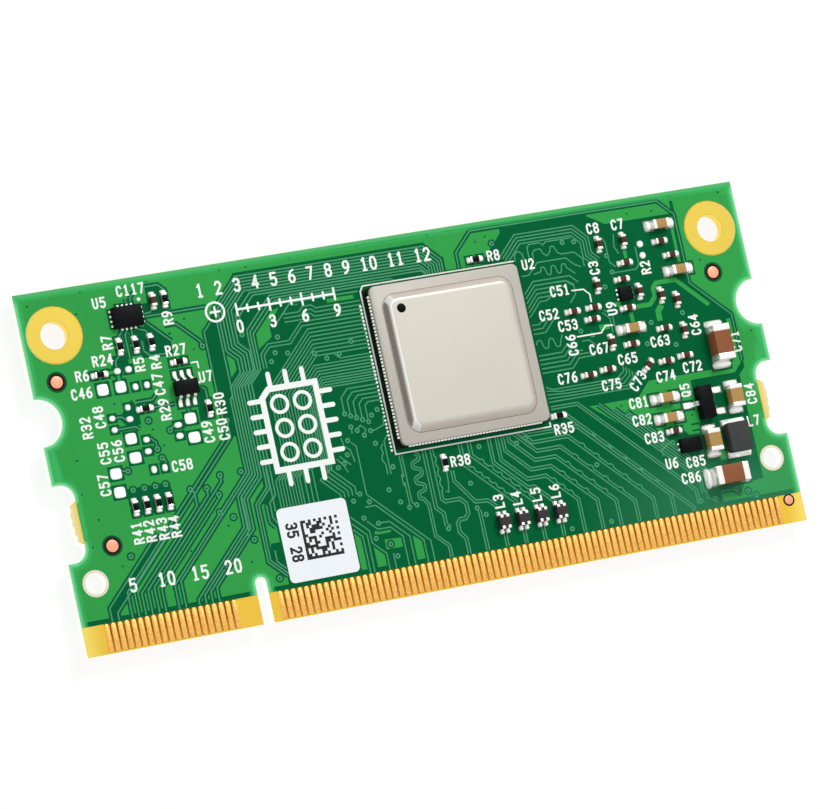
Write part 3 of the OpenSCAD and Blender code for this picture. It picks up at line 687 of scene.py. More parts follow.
# Vias with a ring of their own, and vias that join the copper area round them
RINGED_VIAS = (
    (5.5, 7.7), (11.85, 12.35), (14.7, 13.1), (16.6, 13.1), (15.1, 9.4), (13.3, 12.2), (14.25, 11.5),
    (16.5, 7.2), (14.0, 10.0), (18.0, 3.6), (6.9, 13.15), (7.9, 13.15), (8.9, 13.15), (9.8, 13.15),
    (9.5, 18.7), (9.75, 16.2), (6.8, 14.8), (10.0, 15.4), (11.2, 17.6), (16.35, 17.6), (15.6, 24.2),
    (21.9, 22.6), (23.0, 22.4), (21.4, 21.9), (22.4, 23.9), (19.3, 24.6), (26.4, 21.4), (27.6, 21.6),
    (25.4, 22.0), (25.4, 25.4), (25.9, 12.2), (26.7, 9.4), (26.0, 8.9), (27.4, 8.6), (26.6, 7.3),
    (27.3, 5.4), (28.5, 4.7), (28.9, 3.6), (27.8, 6.65), (30.2, 8.1), (30.9, 7.5), (31.6, 7.6), (34.0, 5.1),
    (37.7, 5.7), (37.0, 6.4), (29.4, 9.3), (30.2, 11.2), (41.9, 11.3), (42.8, 11.6), (38.4, 11.6),
    (36.9, 8.6), (48.9, 8.2), (52.9, 11.9), (53.3, 11.6), (50.3, 28.0), (51.4, 27.9), (50.2, 20.0),
    (51.2, 19.5), (53.1, 24.9), (54.4, 24.7), (54.2, 26.2), (57.0, 19.7), (56.2, 17.9), (58.9, 17.4),
    (56.5, 8.9), (55.6, 8.8), (61.6, 3.9), (62.6, 3.5), (63.3, 3.0), (59.3, 3.4), (49.1, 3.1), (45.3, 3.1),
    (57.9, 3.4), (60.2, 20.1), (53.4, 23.5), (43.7, 28.9), (28.9, 22.5), (26.9, 16.4), (27.4, 16.15),
    (27.9, 15.9), (28.4, 15.65), (28.9, 15.4), (26.65, 14.1), (27.2, 15.2), (27.7, 14.8), (28.25, 14.3),
    (28.9, 14.6), (29.1, 13.45), (26.35, 12.9), (25.3, 11.95), (29.3, 15.9), (29.9, 16.3))
SUNK_VIAS = (
    (5.9, 30.4), (11.85, 30.4), (18.5, 30.4), (24.9, 30.45), (31.2, 30.5), (37.9, 30.5), (61.4, 30.5),
    (66.2, 30.2), (2.4, 13.5), (2.4, 9.0), (13.0, 25.75), (14.5, 26.75), (14.8, 24.05), (6.85, 20.6),
    (9.7, 17.9), (12.9, 25.7), (14.5, 8.75), (15.9, 5.4), (6.7, 3.0), (1.3, 25.3), (1.1, 29.9), (5.2, 28.6),
    (65.9, 10.5), (66.6, 22.0), (63.0, 24.5), (65.8, 25.1), (10.4, 16.4), (12.4, 22.9), (2.6, 16.4),
    (3.4, 11.2), (57.0, 29.6), (59.4, 29.5), (52.4, 12.9), (56.3, 14.3), (58.9, 11.0), (42.2, 29.3),
    (43.2, 29.6), (66.4, 17.5), (65.6, 13.8), (10.8, 7.2), (13.4, 5.3), (4.6, 7.0), (20.9, 30.3))


def board_outline():
    """Corners of the board's outer edge and of its holes, from the frame, in board coordinates."""
    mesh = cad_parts["circuit_board"].data
    number, uses = {}, {}
    places = []
    for polygon in mesh.polygons:
        if polygon.normal.z < 0.9:
            continue
        ring = []
        for i in polygon.vertices:
            key = tuple(round(c / MM, 3) for c in mesh.vertices[i].co.xy)
            if key not in number:
                number[key] = len(places)
                places.append((key[0] - BOARD_LOW.x, key[1] - BOARD_LOW.y))
            ring.append(number[key])
        for a, b in zip(ring, ring[1:] + ring[:1]):
            uses[frozenset((a, b))] = uses.get(frozenset((a, b)), 0) + 1
    after = {}
    for edge, count in uses.items():
        if count == 1:
            a, b = tuple(edge)
            after.setdefault(a, []).append(b)
            after.setdefault(b, []).append(a)
    loops = []
    while after:
        start = next(iter(after))
        loop, here = [start], start
        while after.get(here):
            step = after[here].pop()
            after[step].remove(here)
            if not after[here]:
                del after[here]
            here = step
            if here == start:
                break
            loop.append(here)
        after.pop(start, None)
        loops.append([places[i] for i in loop])
    loops.sort(key=lambda loop: -len(loop) if min(x for x, _ in loop) > 0.2 else -10 ** 6)
    return loops[0], loops[1:]


def thinned(loop, gap):
    """The loop without the points that lie closer than the gap to the one before."""
    kept = [loop[0]]
    for x, y in loop[1:]:
        if math.hypot(x - kept[-1][0], y - kept[-1][1]) >= gap:
            kept.append((x, y))
    return kept + [loop[0]]


def partition(shapes):
    """Cuts the plane along named outlines. Gives the corners and, for each triangle, its names."""
    corners, loops, names = [], [], []
    for name, outlines in shapes.items():
        for outline in outlines:
            following = tuple(outline[1:]) + tuple(outline[:1])
            turn = sum(ax * by - bx * ay for (ax, ay), (bx, by) in zip(outline, following))
            loops.append(list(range(len(corners), len(corners) + len(outline))))
            corners += [Vector(p) for p in (outline if turn > 0 else tuple(outline)[::-1])]
            names.append(name)
    places, _, triangles, _, _, inside = delaunay_2d_cdt(corners, [], loops, 1, 1e-5, True)
    return places, [(tri, {names[i] for i in ids}) for tri, ids in zip(triangles, inside)]


MERGE_GAP = 0.003
EDGE_SAMPLE = 0.06


def nearest_to(line):
    """A search tree over points set closely along a closed line."""
    points = []
    for (x0, y0), (x1, y1) in zip(line, tuple(line[1:]) + tuple(line[:1])):
        count = max(1, round(math.hypot(x1 - x0, y1 - y0) / EDGE_SAMPLE))
        points += [(x0 + (x1 - x0) * i / count, y0 + (y1 - y0) * i / count, 0) for i in range(count)]
    tree = KDTree(len(points))
    for i, point in enumerate(points):
        tree.insert(point, i)
    tree.balance()
    return tree


def flat_mesh(name, places, cells, edge=()):
    """A flat mesh of (triangle, finish number) cells, in row millimetres at height 0.

    With an edge line, each corner keeps its distance from it in the attribute edge_gap."""
    made = bmesh.new()
    gap = made.verts.layers.float.new("edge_gap") if edge else None
    corners = [made.verts.new((p.x + BOARD_LOW.x, p.y + BOARD_LOW.y, 0)) for p in places]
    if edge:
        near = nearest_to(edge)
        for corner, place in zip(corners, places):
            corner[gap] = near.find((place.x, place.y, 0))[2]
    for triangle, number in cells:
        face = made.faces.new([corners[i] for i in triangle])
        face.material_index = number
    for corner in [v for v in made.verts if not v.link_faces]:
        made.verts.remove(corner)
    bmesh.ops.remove_doubles(made, verts=made.verts, dist=MERGE_GAP)
    bmesh.ops.recalc_face_normals(made, faces=made.faces)
    mesh = bpy.data.meshes.new(name)
    made.to_mesh(mesh)
    made.free()
    obj = shown(name, mesh)
    for _ in range(1 + max(number for _, number in cells)):
        mesh.materials.append(None)
    edit(obj, "FACE", lambda face: face.normal.z < 0, bpy.ops.mesh.flip_normals)
    return obj


def raise_all(obj, height):
    edit(obj, "FACE", every, lambda: bpy.ops.mesh.extrude_region_move(
        TRANSFORM_OT_translate={"value": (0, 0, height)}))
    edit(obj, "FACE", every, lambda: bpy.ops.mesh.normals_make_consistent(inside=False))


def shifted(obj, x, y, z):
    obj.data.transform(Matrix.Translation((x, y, z)))
    return obj


def stand_on(obj, height, side=1):
    """Lifts a part modelled on height 0, or mirrors it so that it hangs below the height."""
    obj.data.transform(Matrix.Translation((0, 0, height)) @ Matrix.Diagonal((1, 1, side, 1)))
    if side < 0:
        obj.data.flip_normals()


def put_on_face(obj, side):
    """Moves a sheet modelled on height 0 to the upper or the lower face of the board."""
    stand_on(obj, TOP if side > 0 else UNDER, side)


def lands_on(side):
    """Boxes of the lands on one face of the board, as rectangles in board coordinates."""
    found = []
    for node in ("component_lands", "bare_lands"):
        for corners in loose_parts(node):
            if (corners[0].z > (TOP + UNDER) / 2) == (side > 0):
                found.append(corners)
    return found


def outline_of(corners, grow):
    """The four-cornered outline round a land, grown on all sides."""
    place = placing_of([Vector((c.x, c.y, 0)) for c in corners])
    low, high = extent(corners)
    x = (low.x + high.x) / 2 - BOARD_LOW.x
    y = (low.y + high.y) / 2 - BOARD_LOW.y
    angle = place["angle"]
    if abs(math.sin(2 * angle)) > 0.2:
        return rectangle(x, y, place["length"] + 2 * grow, place["width"] + 2 * grow, math.degrees(angle))
    return rectangle(x, y, high.x - low.x + 2 * grow, high.y - low.y + 2 * grow)


MASK_END = 2.55
FIDUCIAL_WINDOW_D = 1.5
FIDUCIAL_CLEARANCE = 0.14
SPOT_WINDOW_R = 0.55
HOLE_WINDOW_D = 2.3
LOCATING_HOLE_D = 1.8
LOCATING_HOLE_X = 2.0
LOCATING_HOLE_Y = 6.0
RING_WINDOW_GROW = 0.06
LAND_CLEARANCE = 0.17
# Bare areas at the side notches, as (height along the side, width, length)
NOTCH_WINDOW = (11.25, 3.56, 4.1)
VIA_R = 0.24
VIA_GAP = 0.13
VIA_PIT_R = 0.09
# Shares of the edge band at which the mask's sheet is cut, for its corners to carry the edge's fading
BAND_CUTS = (0.3, 0.65, 1.0)


def mask_shapes(side, edge, holes, lines, heavy, pours, clearings, ringed, sunk):
    """Every outline that the mask's sheet is cut along, by what it stands for."""
    clearance, band = board().clearance / MM, board().edge_band / MM
    shapes = {"board": [edge], "window": list(holes), "pour": list(pours), "clear": list(clearings),
              "copper": [], "trace": [], "pad": [], "pit": [], "band": []}
    for share in BAND_CUTS:
        shapes["band"] += strip(thinned(edge, 0.3), 2 * band * share)
    shapes["window"].append(rectangle(BOARD_L / 2, MASK_END / 2 - 1, BOARD_L + 2, MASK_END + 2))
    shapes["window"] += [rectangle(x, *NOTCH_WINDOW) for x in (0.0, BOARD_L)]
    for ring in ("mounting_ring_left", "mounting_ring_right"):
        low, high = box_mm(ring)
        centre = (low + high) / 2
        shapes["window"].append(disc(
            centre.x - BOARD_LOW.x, centre.y - BOARD_LOW.y, (high.x - low.x) / 2 + RING_WINDOW_GROW, 64))
    for hole in holes:
        xs, ys = zip(*hole)
        if max(xs) - min(xs) < 2:
            x, y = (min(xs) + max(xs)) / 2, (min(ys) + max(ys)) / 2
            shapes["window"].append(disc(x, y, HOLE_WINDOW_D / 2, 48))
    for corners in loose_parts("fiducial_marks") if side > 0 else ():
        x = sum(c.x for c in corners) / len(corners) - BOARD_LOW.x
        y = sum(c.y for c in corners) / len(corners) - BOARD_LOW.y
        if y > MASK_END:
            shapes["window"].append(disc(x, y, FIDUCIAL_WINDOW_D / 2, 40))
            shapes["clear"].append(disc(x, y, FIDUCIAL_WINDOW_D / 2 + FIDUCIAL_CLEARANCE, 40))
    for kind, group in (("trace", lines), ("copper", heavy)):
        for width, line in group:
            shapes[kind] += strip(line, width)
            shapes["clear"] += strip(line, width + 2 * clearance)
    for x, y in ringed:
        shapes["pad"].append(disc(x, y, VIA_R, 16))
        shapes["clear"].append(disc(x, y, VIA_R + VIA_GAP, 16))
    shapes["pit"] += [disc(x, y, VIA_PIT_R, 8) for x, y in (*ringed, *sunk)]
    shapes["clear"] += [outline_of(corners, LAND_CLEARANCE) for corners in lands_on(side)]
    return shapes


def mask_cells(cells):
    """Keeps the cells that the mask covers: 1 over copper areas, 2 over traces and via rings, else 0."""
    kept = []
    for triangle, names in cells:
        if "board" not in names or "window" in names:
            continue
        if "band" in names or "pit" in names:
            number = 0
        elif "pad" in names:
            number = 2
        elif "copper" in names or ("pour" in names and "clear" not in names):
            number = 1
        else:
            number = 2 if "trace" in names else 0
        kept.append((triangle, number))
    return kept


TRACE_SHARE = 0.62


def mask_sheet(name, side, edge, shapes):
    """Solder mask as a thin closed sheet that rises over the copper under it."""
    settings = board()
    places, cells = partition(shapes)
    obj = flat_mesh(name, places, mask_cells(cells), edge)
    raise_all(obj, settings.mask_thickness / MM)
    for number, share in ((1, 1.0), (2, TRACE_SHARE)):
        edit(obj, "FACE", lambda face: face.material_index == number and face.normal.z > 0.9,
             lambda: bpy.ops.mesh.inset(thickness=settings.slope / MM,
                                        depth=settings.copper_rise / MM * share, use_even_offset=False))
    put_on_face(obj, side)
    return hand_over(dress(obj, "mask"), smooth=20)


# Strokes of the legend's characters, on a grid 2 wide and 4 high
GLYPHS = {
    "0": (((0, 1), (0, 3), (0.5, 4), (1.5, 4), (2, 3), (2, 1), (1.5, 0), (0.5, 0), (0, 1)),),
    "1": (((0.4, 3.4), (1, 4), (1, 0)), ((0.4, 0), (1.6, 0))),
    "2": (((0, 3.2), (0.5, 4), (1.5, 4), (2, 3.2), (2, 2.6), (0, 0), (2, 0)),),
    "3": (((0, 3.4), (0.5, 4), (1.5, 4), (2, 3.4), (2, 2.6), (1.4, 2.1), (0.7, 2.1)),
          ((1.4, 2.1), (2, 1.6), (2, 0.7), (1.5, 0), (0.5, 0), (0, 0.6))),
    "4": (((1.5, 0), (1.5, 4), (0, 1.2), (2.1, 1.2)),),
    "5": (((2, 4), (0.2, 4), (0.1, 2.3), (1.4, 2.5), (2, 1.9), (2, 0.7), (1.4, 0), (0.5, 0), (0, 0.5)),),
    "6": (((1.8, 4), (0.8, 3.5), (0, 2), (0, 0.8), (0.5, 0), (1.5, 0), (2, 0.7), (2, 1.6), (1.5, 2.2),
           (0.6, 2.2), (0, 1.6)),),
    "7": (((0, 4), (2, 4), (0.7, 0)),),
    "8": (((0.5, 2.15), (0, 2.8), (0, 3.4), (0.5, 4), (1.5, 4), (2, 3.4), (2, 2.8), (1.5, 2.15),
           (0.5, 2.15), (0, 1.5), (0, 0.6), (0.5, 0), (1.5, 0), (2, 0.6), (2, 1.5), (1.5, 2.15)),),
    "9": (((0.2, 0), (1.2, 0.5), (2, 2), (2, 3.2), (1.5, 4), (0.5, 4), (0, 3.3), (0, 2.4), (0.5, 1.8),
           (1.4, 1.8), (2, 2.4)),),
    "C": (((2, 3.2), (1.5, 4), (0.6, 4), (0, 3.2), (0, 0.8), (0.6, 0), (1.5, 0), (2, 0.8)),),
    "L": (((0, 4), (0, 0), (1.9, 0)),),
    "Q": (((0.6, 4), (1.4, 4), (2, 3.2), (2, 0.8), (1.4, 0), (0.6, 0), (0, 0.8), (0, 3.2), (0.6, 4)),
          ((1.2, 1), (2, -0.2))),
    "R": (((0, 0), (0, 4), (1.4, 4), (2, 3.5), (2, 2.6), (1.4, 2.1), (0, 2.1)), ((1.1, 2.1), (2, 0))),
    "U": (((0, 4), (0, 0.8), (0.5, 0), (1.5, 0), (2, 0.8), (2, 4)),),
}
CHAR_STEP = 0.66
CHAR_W = 0.36
CHAR_H = 0.8


def written(text, x, y, angle=0.0, size=1.0, step=CHAR_STEP):
    """Lines that write the text with its middle at x, y."""
    c, s = math.cos(math.radians(angle)), math.sin(math.radians(angle))
    width = (len(text) - 1) * step + CHAR_W
    lines = []
    for i, char in enumerate(text):
        for stroke in GLYPHS.get(char, ()):
            line = []
            for u, v in stroke:
                a = (i * step + u * CHAR_W / 2 - width / 2) * size
                b = (v * CHAR_H / 4 - CHAR_H / 2) * size
                line.append((x + c * a - s * b, y + s * a + c * b))
            lines.append(line)
    return lines


# Part numbers of the legend, as (text, x, y, angle)
PART_NUMBERS = (
    ("U5", 7.35, 29.25, 0), ("C117", 10.3, 29.95, 0), ("R24", 6.62, 24.38, 0), ("R6", 4.57, 23.35, 0),
    ("R27", 13.17, 24.25, 0), ("C46", 4.22, 21.9, 0), ("U7", 15.3, 21.6, 0), ("C58", 11.6, 14.5, 0),
    ("U2", 46.65, 26.58, 0), ("C8", 53.45, 28.8, 0), ("C7", 55.85, 28.8, 0), ("C51", 49.05, 23.83, 0),
    ("C52", 47.55, 21.88, 0), ("C53", 49.1, 20.68, 0), ("C67", 51.55, 18.2, 0), ("C65", 54.0, 16.9, 0),
    ("C63", 57.45, 17.95, 0), ("C76", 47.97, 16.12, 0), ("C75", 51.95, 14.88, 0), ("C74", 57.25, 14.8, 0),
    ("C72", 59.97, 15.22, 0), ("C81", 54.12, 12.9, 0), ("C82", 54.07, 11.35, 0), ("C83", 54.85, 9.63, 0),
    ("L7", 64.62, 9.55, 0), ("U6", 55.95, 7.13, 0), ("C85", 58.25, 6.9, 0), ("C86", 57.48, 5.58, 0),
    ("R38", 36.42, 10.7, 0), ("R8", 43.6, 27.85, 0), ("R35", 46.6, 11.83, 0), ("R9", 13.08, 27.05, 90),
    ("R7", 7.32, 25.8, 90), ("R5", 9.75, 23.52, 90), ("R4", 11.2, 23.52, 90), ("C47", 11.05, 21.6, 90),
    ("R32", 4.0, 18.97, 90), ("C48", 5.3, 19.67, 90), ("C55", 5.08, 16.6, 90), ("C56", 6.3, 16.6, 90),
    ("C57", 4.5, 13.97, 90), ("R29", 11.12, 19.4, 90), ("R30", 16.05, 19.12, 90), ("C49", 14.48, 16.9, 90),
    ("C50", 15.83, 16.9, 90), ("R41", 6.5, 9.5, 90), ("R42", 7.6, 9.5, 90), ("R43", 8.75, 9.5, 90),
    ("R44", 9.85, 9.5, 90), ("C3", 52.75, 25.3, 90), ("R2", 57.65, 24.6, 90), ("U9", 53.57, 21.5, 90),
    ("C66", 49.08, 18.9, 90), ("C64", 61.1, 18.85, 90), ("C71", 64.65, 16.75, 90), ("Q5", 58.78, 13.25, 90),
    ("C84", 64.95, 11.95, 90), ("L3", 39.1, 6.6, 90), ("L4", 40.8, 6.6, 90), ("L5", 42.65, 6.6, 90),
    ("L6", 44.45, 6.6, 90), ("C73", 54.5, 14.8, 45))


def inked(lines, width):
    """Outlines of lines drawn with a round pen."""
    return [outline for line in lines for outline in strip(line, width, rounded=True)]


def ring_line(x, y, r, sides, width):
    """Outlines of a circle drawn with a pen."""
    ring = disc(x, y, r, sides)
    return strip(ring + ring[:1], width)


def legend_shapes():
    """All the printed strokes: part numbers, leaders, the processor's outline, scales and the pictogram."""
    stroke = board().stroke / MM
    shapes = [shape for number in PART_NUMBERS for shape in inked(written(*number), stroke)]
    shapes += inked(LEADERS, LEADER_STROKE)
    shapes += [disc(10.88, 29.03, 0.16, 14), disc(14.65, 21.2, 0.12, 12)]
    for first, count, r in OUTLINE_DOTS:
        shapes += [disc(30.42, first + 0.33 * i, r, 10) for i in range(count)]
    return shapes + scale_shapes(stroke * 1.15) + pictogram_shapes()


# Leader lines and, last, the outline round the processor
LEADERS = (
    ((50.2, 23.65), (51.3, 23.6), (51.8, 23.1), (51.8, 22.4)),
    ((49.75, 19.55), (52.1, 19.55), (52.6, 20.1), (53.3, 20.05)),
    ((14.3, 22.95), (14.85, 22.95), (14.85, 22.45)),
    ((45.35, 27.05), (31.0, 27.05), (30.7, 26.6), (30.7, 12.2), (45.4, 12.2), (45.4, 12.55)),
)
LEADER_STROKE = 0.125
# Dots of ink left of the outline, as (height of the first, count, radius)
OUTLINE_DOTS = ((18.6, 8, 0.12), (21.3, 6, 0.09), (23.35, 7, 0.12), (12.6, 9, 0.11), (15.6, 9, 0.1))
LARGE_SIZE = 1.28
NUMBER_ROW = (16.2, 28.9)
BAR_X = 19.3
BAR_Y = 26.8
BAR_L = 9
TARGET = (17.35, 26.9)
CONTACT_NUMBER_Y = 5.3


def scale_shapes(stroke):
    """Plain measuring scales: a row of numbers, a bar with its length, a target and numbers of contacts."""
    step = CHAR_STEP * LARGE_SIZE
    x, y = NUMBER_ROW
    lines = []
    for number in range(1, 13):
        text = str(number)
        lines += written(text, x + ((len(text) - 1) * step + CHAR_W) / 2, y, 0, LARGE_SIZE)
        x += (len(text) + 1) * step
    lines.append(((BAR_X, BAR_Y), (BAR_X + BAR_L, BAR_Y)))
    for i in range(BAR_L + 1):
        tall = 0.5 if i % 3 == 0 else 0.28
        lines.append(((BAR_X + i, BAR_Y - tall), (BAR_X + i, BAR_Y + tall)))
        if i % 3 == 0:
            lines += written(str(i), BAR_X + i, 25.35, 0, LARGE_SIZE * 0.9)
    x, y = TARGET
    marks = [((x - 0.4, y), (x + 0.4, y)), ((x, y - 0.4), (x, y + 0.4))]
    for number in range(5, SHORT_GROUP_N + 1, 5):
        marks += written(str(number), contact_x(number - 1) + 0.6, CONTACT_NUMBER_Y, 0, LARGE_SIZE)
    return inked(lines, stroke) + ring_line(x, y, 0.82, 40, stroke) + inked(marks, stroke)


# The pictogram's middle and size, and the widths of its frame, its legs and its rings
SIGN_X = 22.35
SIGN_Y = 16.1
SIGN_W = 5.0
SIGN_H = 7.0
SIGN_STROKE = 0.52
LEG_STROKE = 0.42
WINDOW_STROKE = 0.3


def pictogram_shapes():
    """A plain sign for an integrated circuit: a frame with legs on four sides and round windows."""
    half_w, half_h = SIGN_W / 2, SIGN_H / 2
    left, right, low, high = SIGN_X - half_w, SIGN_X + half_w, SIGN_Y - half_h, SIGN_Y + half_h
    cut = 0.7
    frame_line = ((left + cut, high), (right, high), (right, low), (left, low), (left, high - cut),
                  (left + cut, high))
    legs = []
    for i in range(5):
        y = low + 0.9 + i * (SIGN_H - 1.8) / 4
        legs += [((SIGN_X + end * half_w, y), (SIGN_X + end * (half_w + 1.2), y)) for end in (-1, 1)]
    for i in range(3):
        x = left + 0.95 + i * (SIGN_W - 1.9) / 2
        legs += [((x, SIGN_Y + end * half_h), (x, SIGN_Y + end * (half_h + 1.3))) for end in (-1, 1)]
    shapes = inked([frame_line], SIGN_STROKE) + inked(legs, LEG_STROKE)
    for row in range(3):
        for column in range(2):
            x, y = SIGN_X - 1.05 + 2.1 * column, SIGN_Y - 2.1 + 2.1 * row
            shapes += ring_line(x, y, 0.72, 28, WINDOW_STROKE)
    return shapes


def ink_sheet(name, shapes, height, thickness, finish):
    """Printed strokes as one thin closed layer."""
    places, cells = partition({"ink": shapes})
    obj = flat_mesh(name, places, [(triangle, 0) for triangle, names in cells if names])
    raise_all(obj, thickness)
    stand_on(obj, height)
    hand_over(dress(obj, finish), smooth=20)


# Finishes
# Node groups that several finishes share
GROUPS = {}
FINISH = {}


def wire(tree, value, socket):
    """Links an output to an input, or gives the input a plain value."""
    if isinstance(value, bpy.types.NodeSocket):
        tree.links.new(value, socket)
    elif socket.type == "RGBA":
        socket.default_value = (*value, 1)
    else:
        socket.default_value = value


def node_with(tree, kind, values=(), **settings):
    """A shader node with its settings made and its inputs wired, by their order or by their names."""
    node = tree.nodes.new("ShaderNode" + kind)
    for name, value in settings.items():
        setattr(node, name, value)
    for label, value in values.items() if isinstance(values, dict) else enumerate(values):
        wire(tree, value, node.inputs[label])
    return node


def new_group(name, inputs, output):
    """A registered node group with a vector and other inputs; gives its inner inputs and outputs too."""
    group = GROUPS[name] = bpy.data.node_groups.new(name, "ShaderNodeTree")
    group.interface.new_socket("Vector", in_out="INPUT", socket_type="NodeSocketVector")
    for label, value in inputs.items():
        kind = "NodeSocketColor" if isinstance(value, tuple) else "NodeSocketFloat"
        group.interface.new_socket(label, in_out="INPUT", socket_type=kind).default_value = value
    group.interface.new_socket(output[0], in_out="OUTPUT", socket_type=output[1])
    return group, group.nodes.new("NodeGroupInput").outputs, group.nodes.new("NodeGroupOutput").inputs


def noise_in(group, given, detail):
    values = {"Vector": given["Vector"], "Scale": given["Scale"], "Detail": detail}
    return node_with(group, "TexNoise", values).outputs["Fac"]


def tone_group():
    """Lets a colour wander a little lighter and darker over the surface."""
    group, given, result = new_group(
        "surface_tone", {"Color": (0.5, 0.5, 0.5, 1), "Scale": 400.0, "Amount": 0.1},
        ("Color", "NodeSocketColor"))
    centre = node_with(group, "Math", (noise_in(group, given, 4), 0.5), operation="SUBTRACT").outputs[0]
    spread = node_with(group, "Math", (centre, given["Amount"], 1.0), operation="MULTIPLY_ADD").outputs[0]
    tint = node_with(group, "HueSaturation", {"Value": spread, "Color": given["Color"]})
    wire(group, tint.outputs["Color"], result["Color"])


def relief_group():
    """Fine unevenness of a surface, as a normal."""
    group, given, result = new_group(
        "fine_relief", {"Scale": 4000.0, "Depth": 0.00001}, ("Normal", "NodeSocketVector"))
    bump = node_with(group, "Bump", {"Height": noise_in(group, given, 3), "Distance": given["Depth"]})
    wire(group, bump.outputs["Normal"], result["Normal"])


def speck_group():
    """A mask of scattered small specks."""
    group, given, result = new_group(
        "fine_specks", {"Scale": 3000.0, "Cover": 0.62}, ("Mask", "NodeSocketFloat"))
    upper = node_with(group, "Math", (given["Cover"], 0.08), operation="ADD").outputs[0]
    values = {"Value": noise_in(group, given, 2), "From Min": given["Cover"], "From Max": upper}
    wire(group, node_with(group, "MapRange", values).outputs["Result"], result["Mask"])


class Surface:
    """A material under construction: its shader, its object coordinates and its wiring."""

    def __init__(self, name, roughness, metallic=0.0, specular=0.5):
        FINISH[name] = bpy.data.materials.new(name)
        FINISH[name].use_nodes = True
        self.tree = FINISH[name].node_tree
        self.shader = self.tree.nodes["Principled BSDF"].inputs
        self.shader["Roughness"].default_value = roughness
        self.shader["Metallic"].default_value = metallic
        self.shader["Specular IOR Level"].default_value = specular
        self.place = self.tree.nodes.new("ShaderNodeTexCoord").outputs["Object"]

    def group(self, name, **values):
        return node_with(self.tree, "Group", {"Vector": self.place, **values}, node_tree=GROUPS[name])

    def maths(self, operation, *values):
        return node_with(self.tree, "Math", values, operation=operation).outputs[0]

    def ramp(self, value, low, high):
        """Nothing up to the low value, 1 from the high one on, and a straight rise between them."""
        values = {"Value": value, "From Min": low, "From Max": high}
        return node_with(self.tree, "MapRange", values).outputs["Result"]

    def mix(self, share, first, second):
        return node_with(self.tree, "Mix", {0: share, 6: first, 7: second}, data_type="RGBA").outputs[2]

    def axis(self, letter, vector=None):
        """One coordinate of the place, or of another vector."""
        return node_with(self.tree, "SeparateXYZ", (vector or self.place,)).outputs[letter]

    def facing(self, letter):
        """How much the surface faces along an axis."""
        return self.axis(letter, node_with(self.tree, "NewGeometry").outputs["Normal"])

    def flat(self):
        """1 on level faces and 0 on upright ones."""
        return self.ramp(self.maths("ABSOLUTE", self.facing("Z")), 0.4, 0.6)

    def colour(self, value, scale, amount):
        """Base colour with a slow wander of tone."""
        node = self.group("surface_tone", Color=value, Scale=scale, Amount=amount)
        wire(self.tree, node.outputs["Color"], self.shader["Base Color"])

    def relief(self, scale, depth):
        node = self.group("fine_relief", Scale=scale, Depth=depth)
        wire(self.tree, node.outputs["Normal"], self.shader["Normal"])

    def rough(self, low, high, scale):
        """Roughness that varies between two values."""
        noise = node_with(self.tree, "TexNoise", {"Scale": scale, "Vector": self.place})
        spread = node_with(self.tree, "MapRange",
                           {"Value": noise.outputs["Fac"], "To Min": low, "To Max": high})
        wire(self.tree, spread.outputs["Result"], self.shader["Roughness"])

    def glow(self, colour, strength):
        """Light of its own, for what shines through the material or is thrown onto it."""
        wire(self.tree, colour, self.shader["Emission Color"])
        self.shader["Emission Strength"].default_value = strength


BLACK = (0, 0, 0)
WHITE = (1, 1, 1)
# Where a finish changes, in metres along an axis of the frame
FAR_EDGE_Y = (0.0146, 0.0151)
# Where the mask takes a painted sheen, paler and bluer towards the lower right
PAINTED_SHEEN_X = (0.012, 0.024)
PAINTED_SHEEN_Y = (-0.0055, -0.0115)
BOARD_END_X = (0.0322, 0.0335)
STUB_X = (0.0319, 0.0327)
STUB_Y = (-0.0085, -0.008)
GAP_END_Y = (-0.0139, -0.0152)
# How far the light at the cut edge reaches into the mask, in millimetres
RIM_REACH = (0.36, 0.0)
BAND_REACH = (0.7, 0.35)
PAINTED_SHEEN_SHARE = 0.4
WEAVE_STEP = 0.3
LAYER_STEP = 0.2


def mask_finishes():
    """Green mask: lighter over copper, and lit through from below along the cut edge."""
    settings, colours = board(), finishes()
    surface = Surface("mask", 0.34, specular=0.035)
    low, rise = settings.mask_thickness, settings.copper_rise
    away = surface.maths("ABSOLUTE", surface.maths("SUBTRACT", surface.axis("Z"), (TOP + UNDER) / 2 * MM))
    height = surface.maths("SUBTRACT", away, (TOP - UNDER) / 2 * MM)
    # Over traces the mask is lighter, partly for the copper under it and partly as a painted highlight.
    on_trace = surface.ramp(height, low + 0.1 * rise, low + 0.5 * rise)
    on_copper = surface.ramp(height, low + 0.68 * rise, low + 0.95 * rise)
    tint = surface.mix(on_trace, colours.mask_on_base, colours.mask_on_trace)
    tint = surface.mix(on_copper, tint, colours.mask_on_copper)
    # Painted light along the cut edge: the mask grows lighter towards it, weaker at the far long edge.
    gap = node_with(surface.tree, "Attribute", attribute_name="edge_gap").outputs["Fac"]
    far = surface.ramp(surface.axis("Y"), *FAR_EDGE_Y)
    glow = surface.mix(far, colours.mask_edge, colours.mask_far_edge)
    rim = surface.mix(surface.ramp(gap, *RIM_REACH), colours.mask_near_edge, glow)
    # Painted sheen: the mask turns paler and bluer towards the lower right.
    painted_sheen = surface.maths("MULTIPLY", surface.ramp(surface.axis("X"), *PAINTED_SHEEN_X),
                         surface.ramp(surface.axis("Y"), *PAINTED_SHEEN_Y))
    tint = surface.mix(surface.maths("MULTIPLY", painted_sheen, PAINTED_SHEEN_SHARE), tint, paint("#46966e"))
    surface.colour(surface.mix(surface.ramp(gap, *BAND_REACH), tint, rim), 260, 0.14)
    surface.relief(5200, 0.000003)


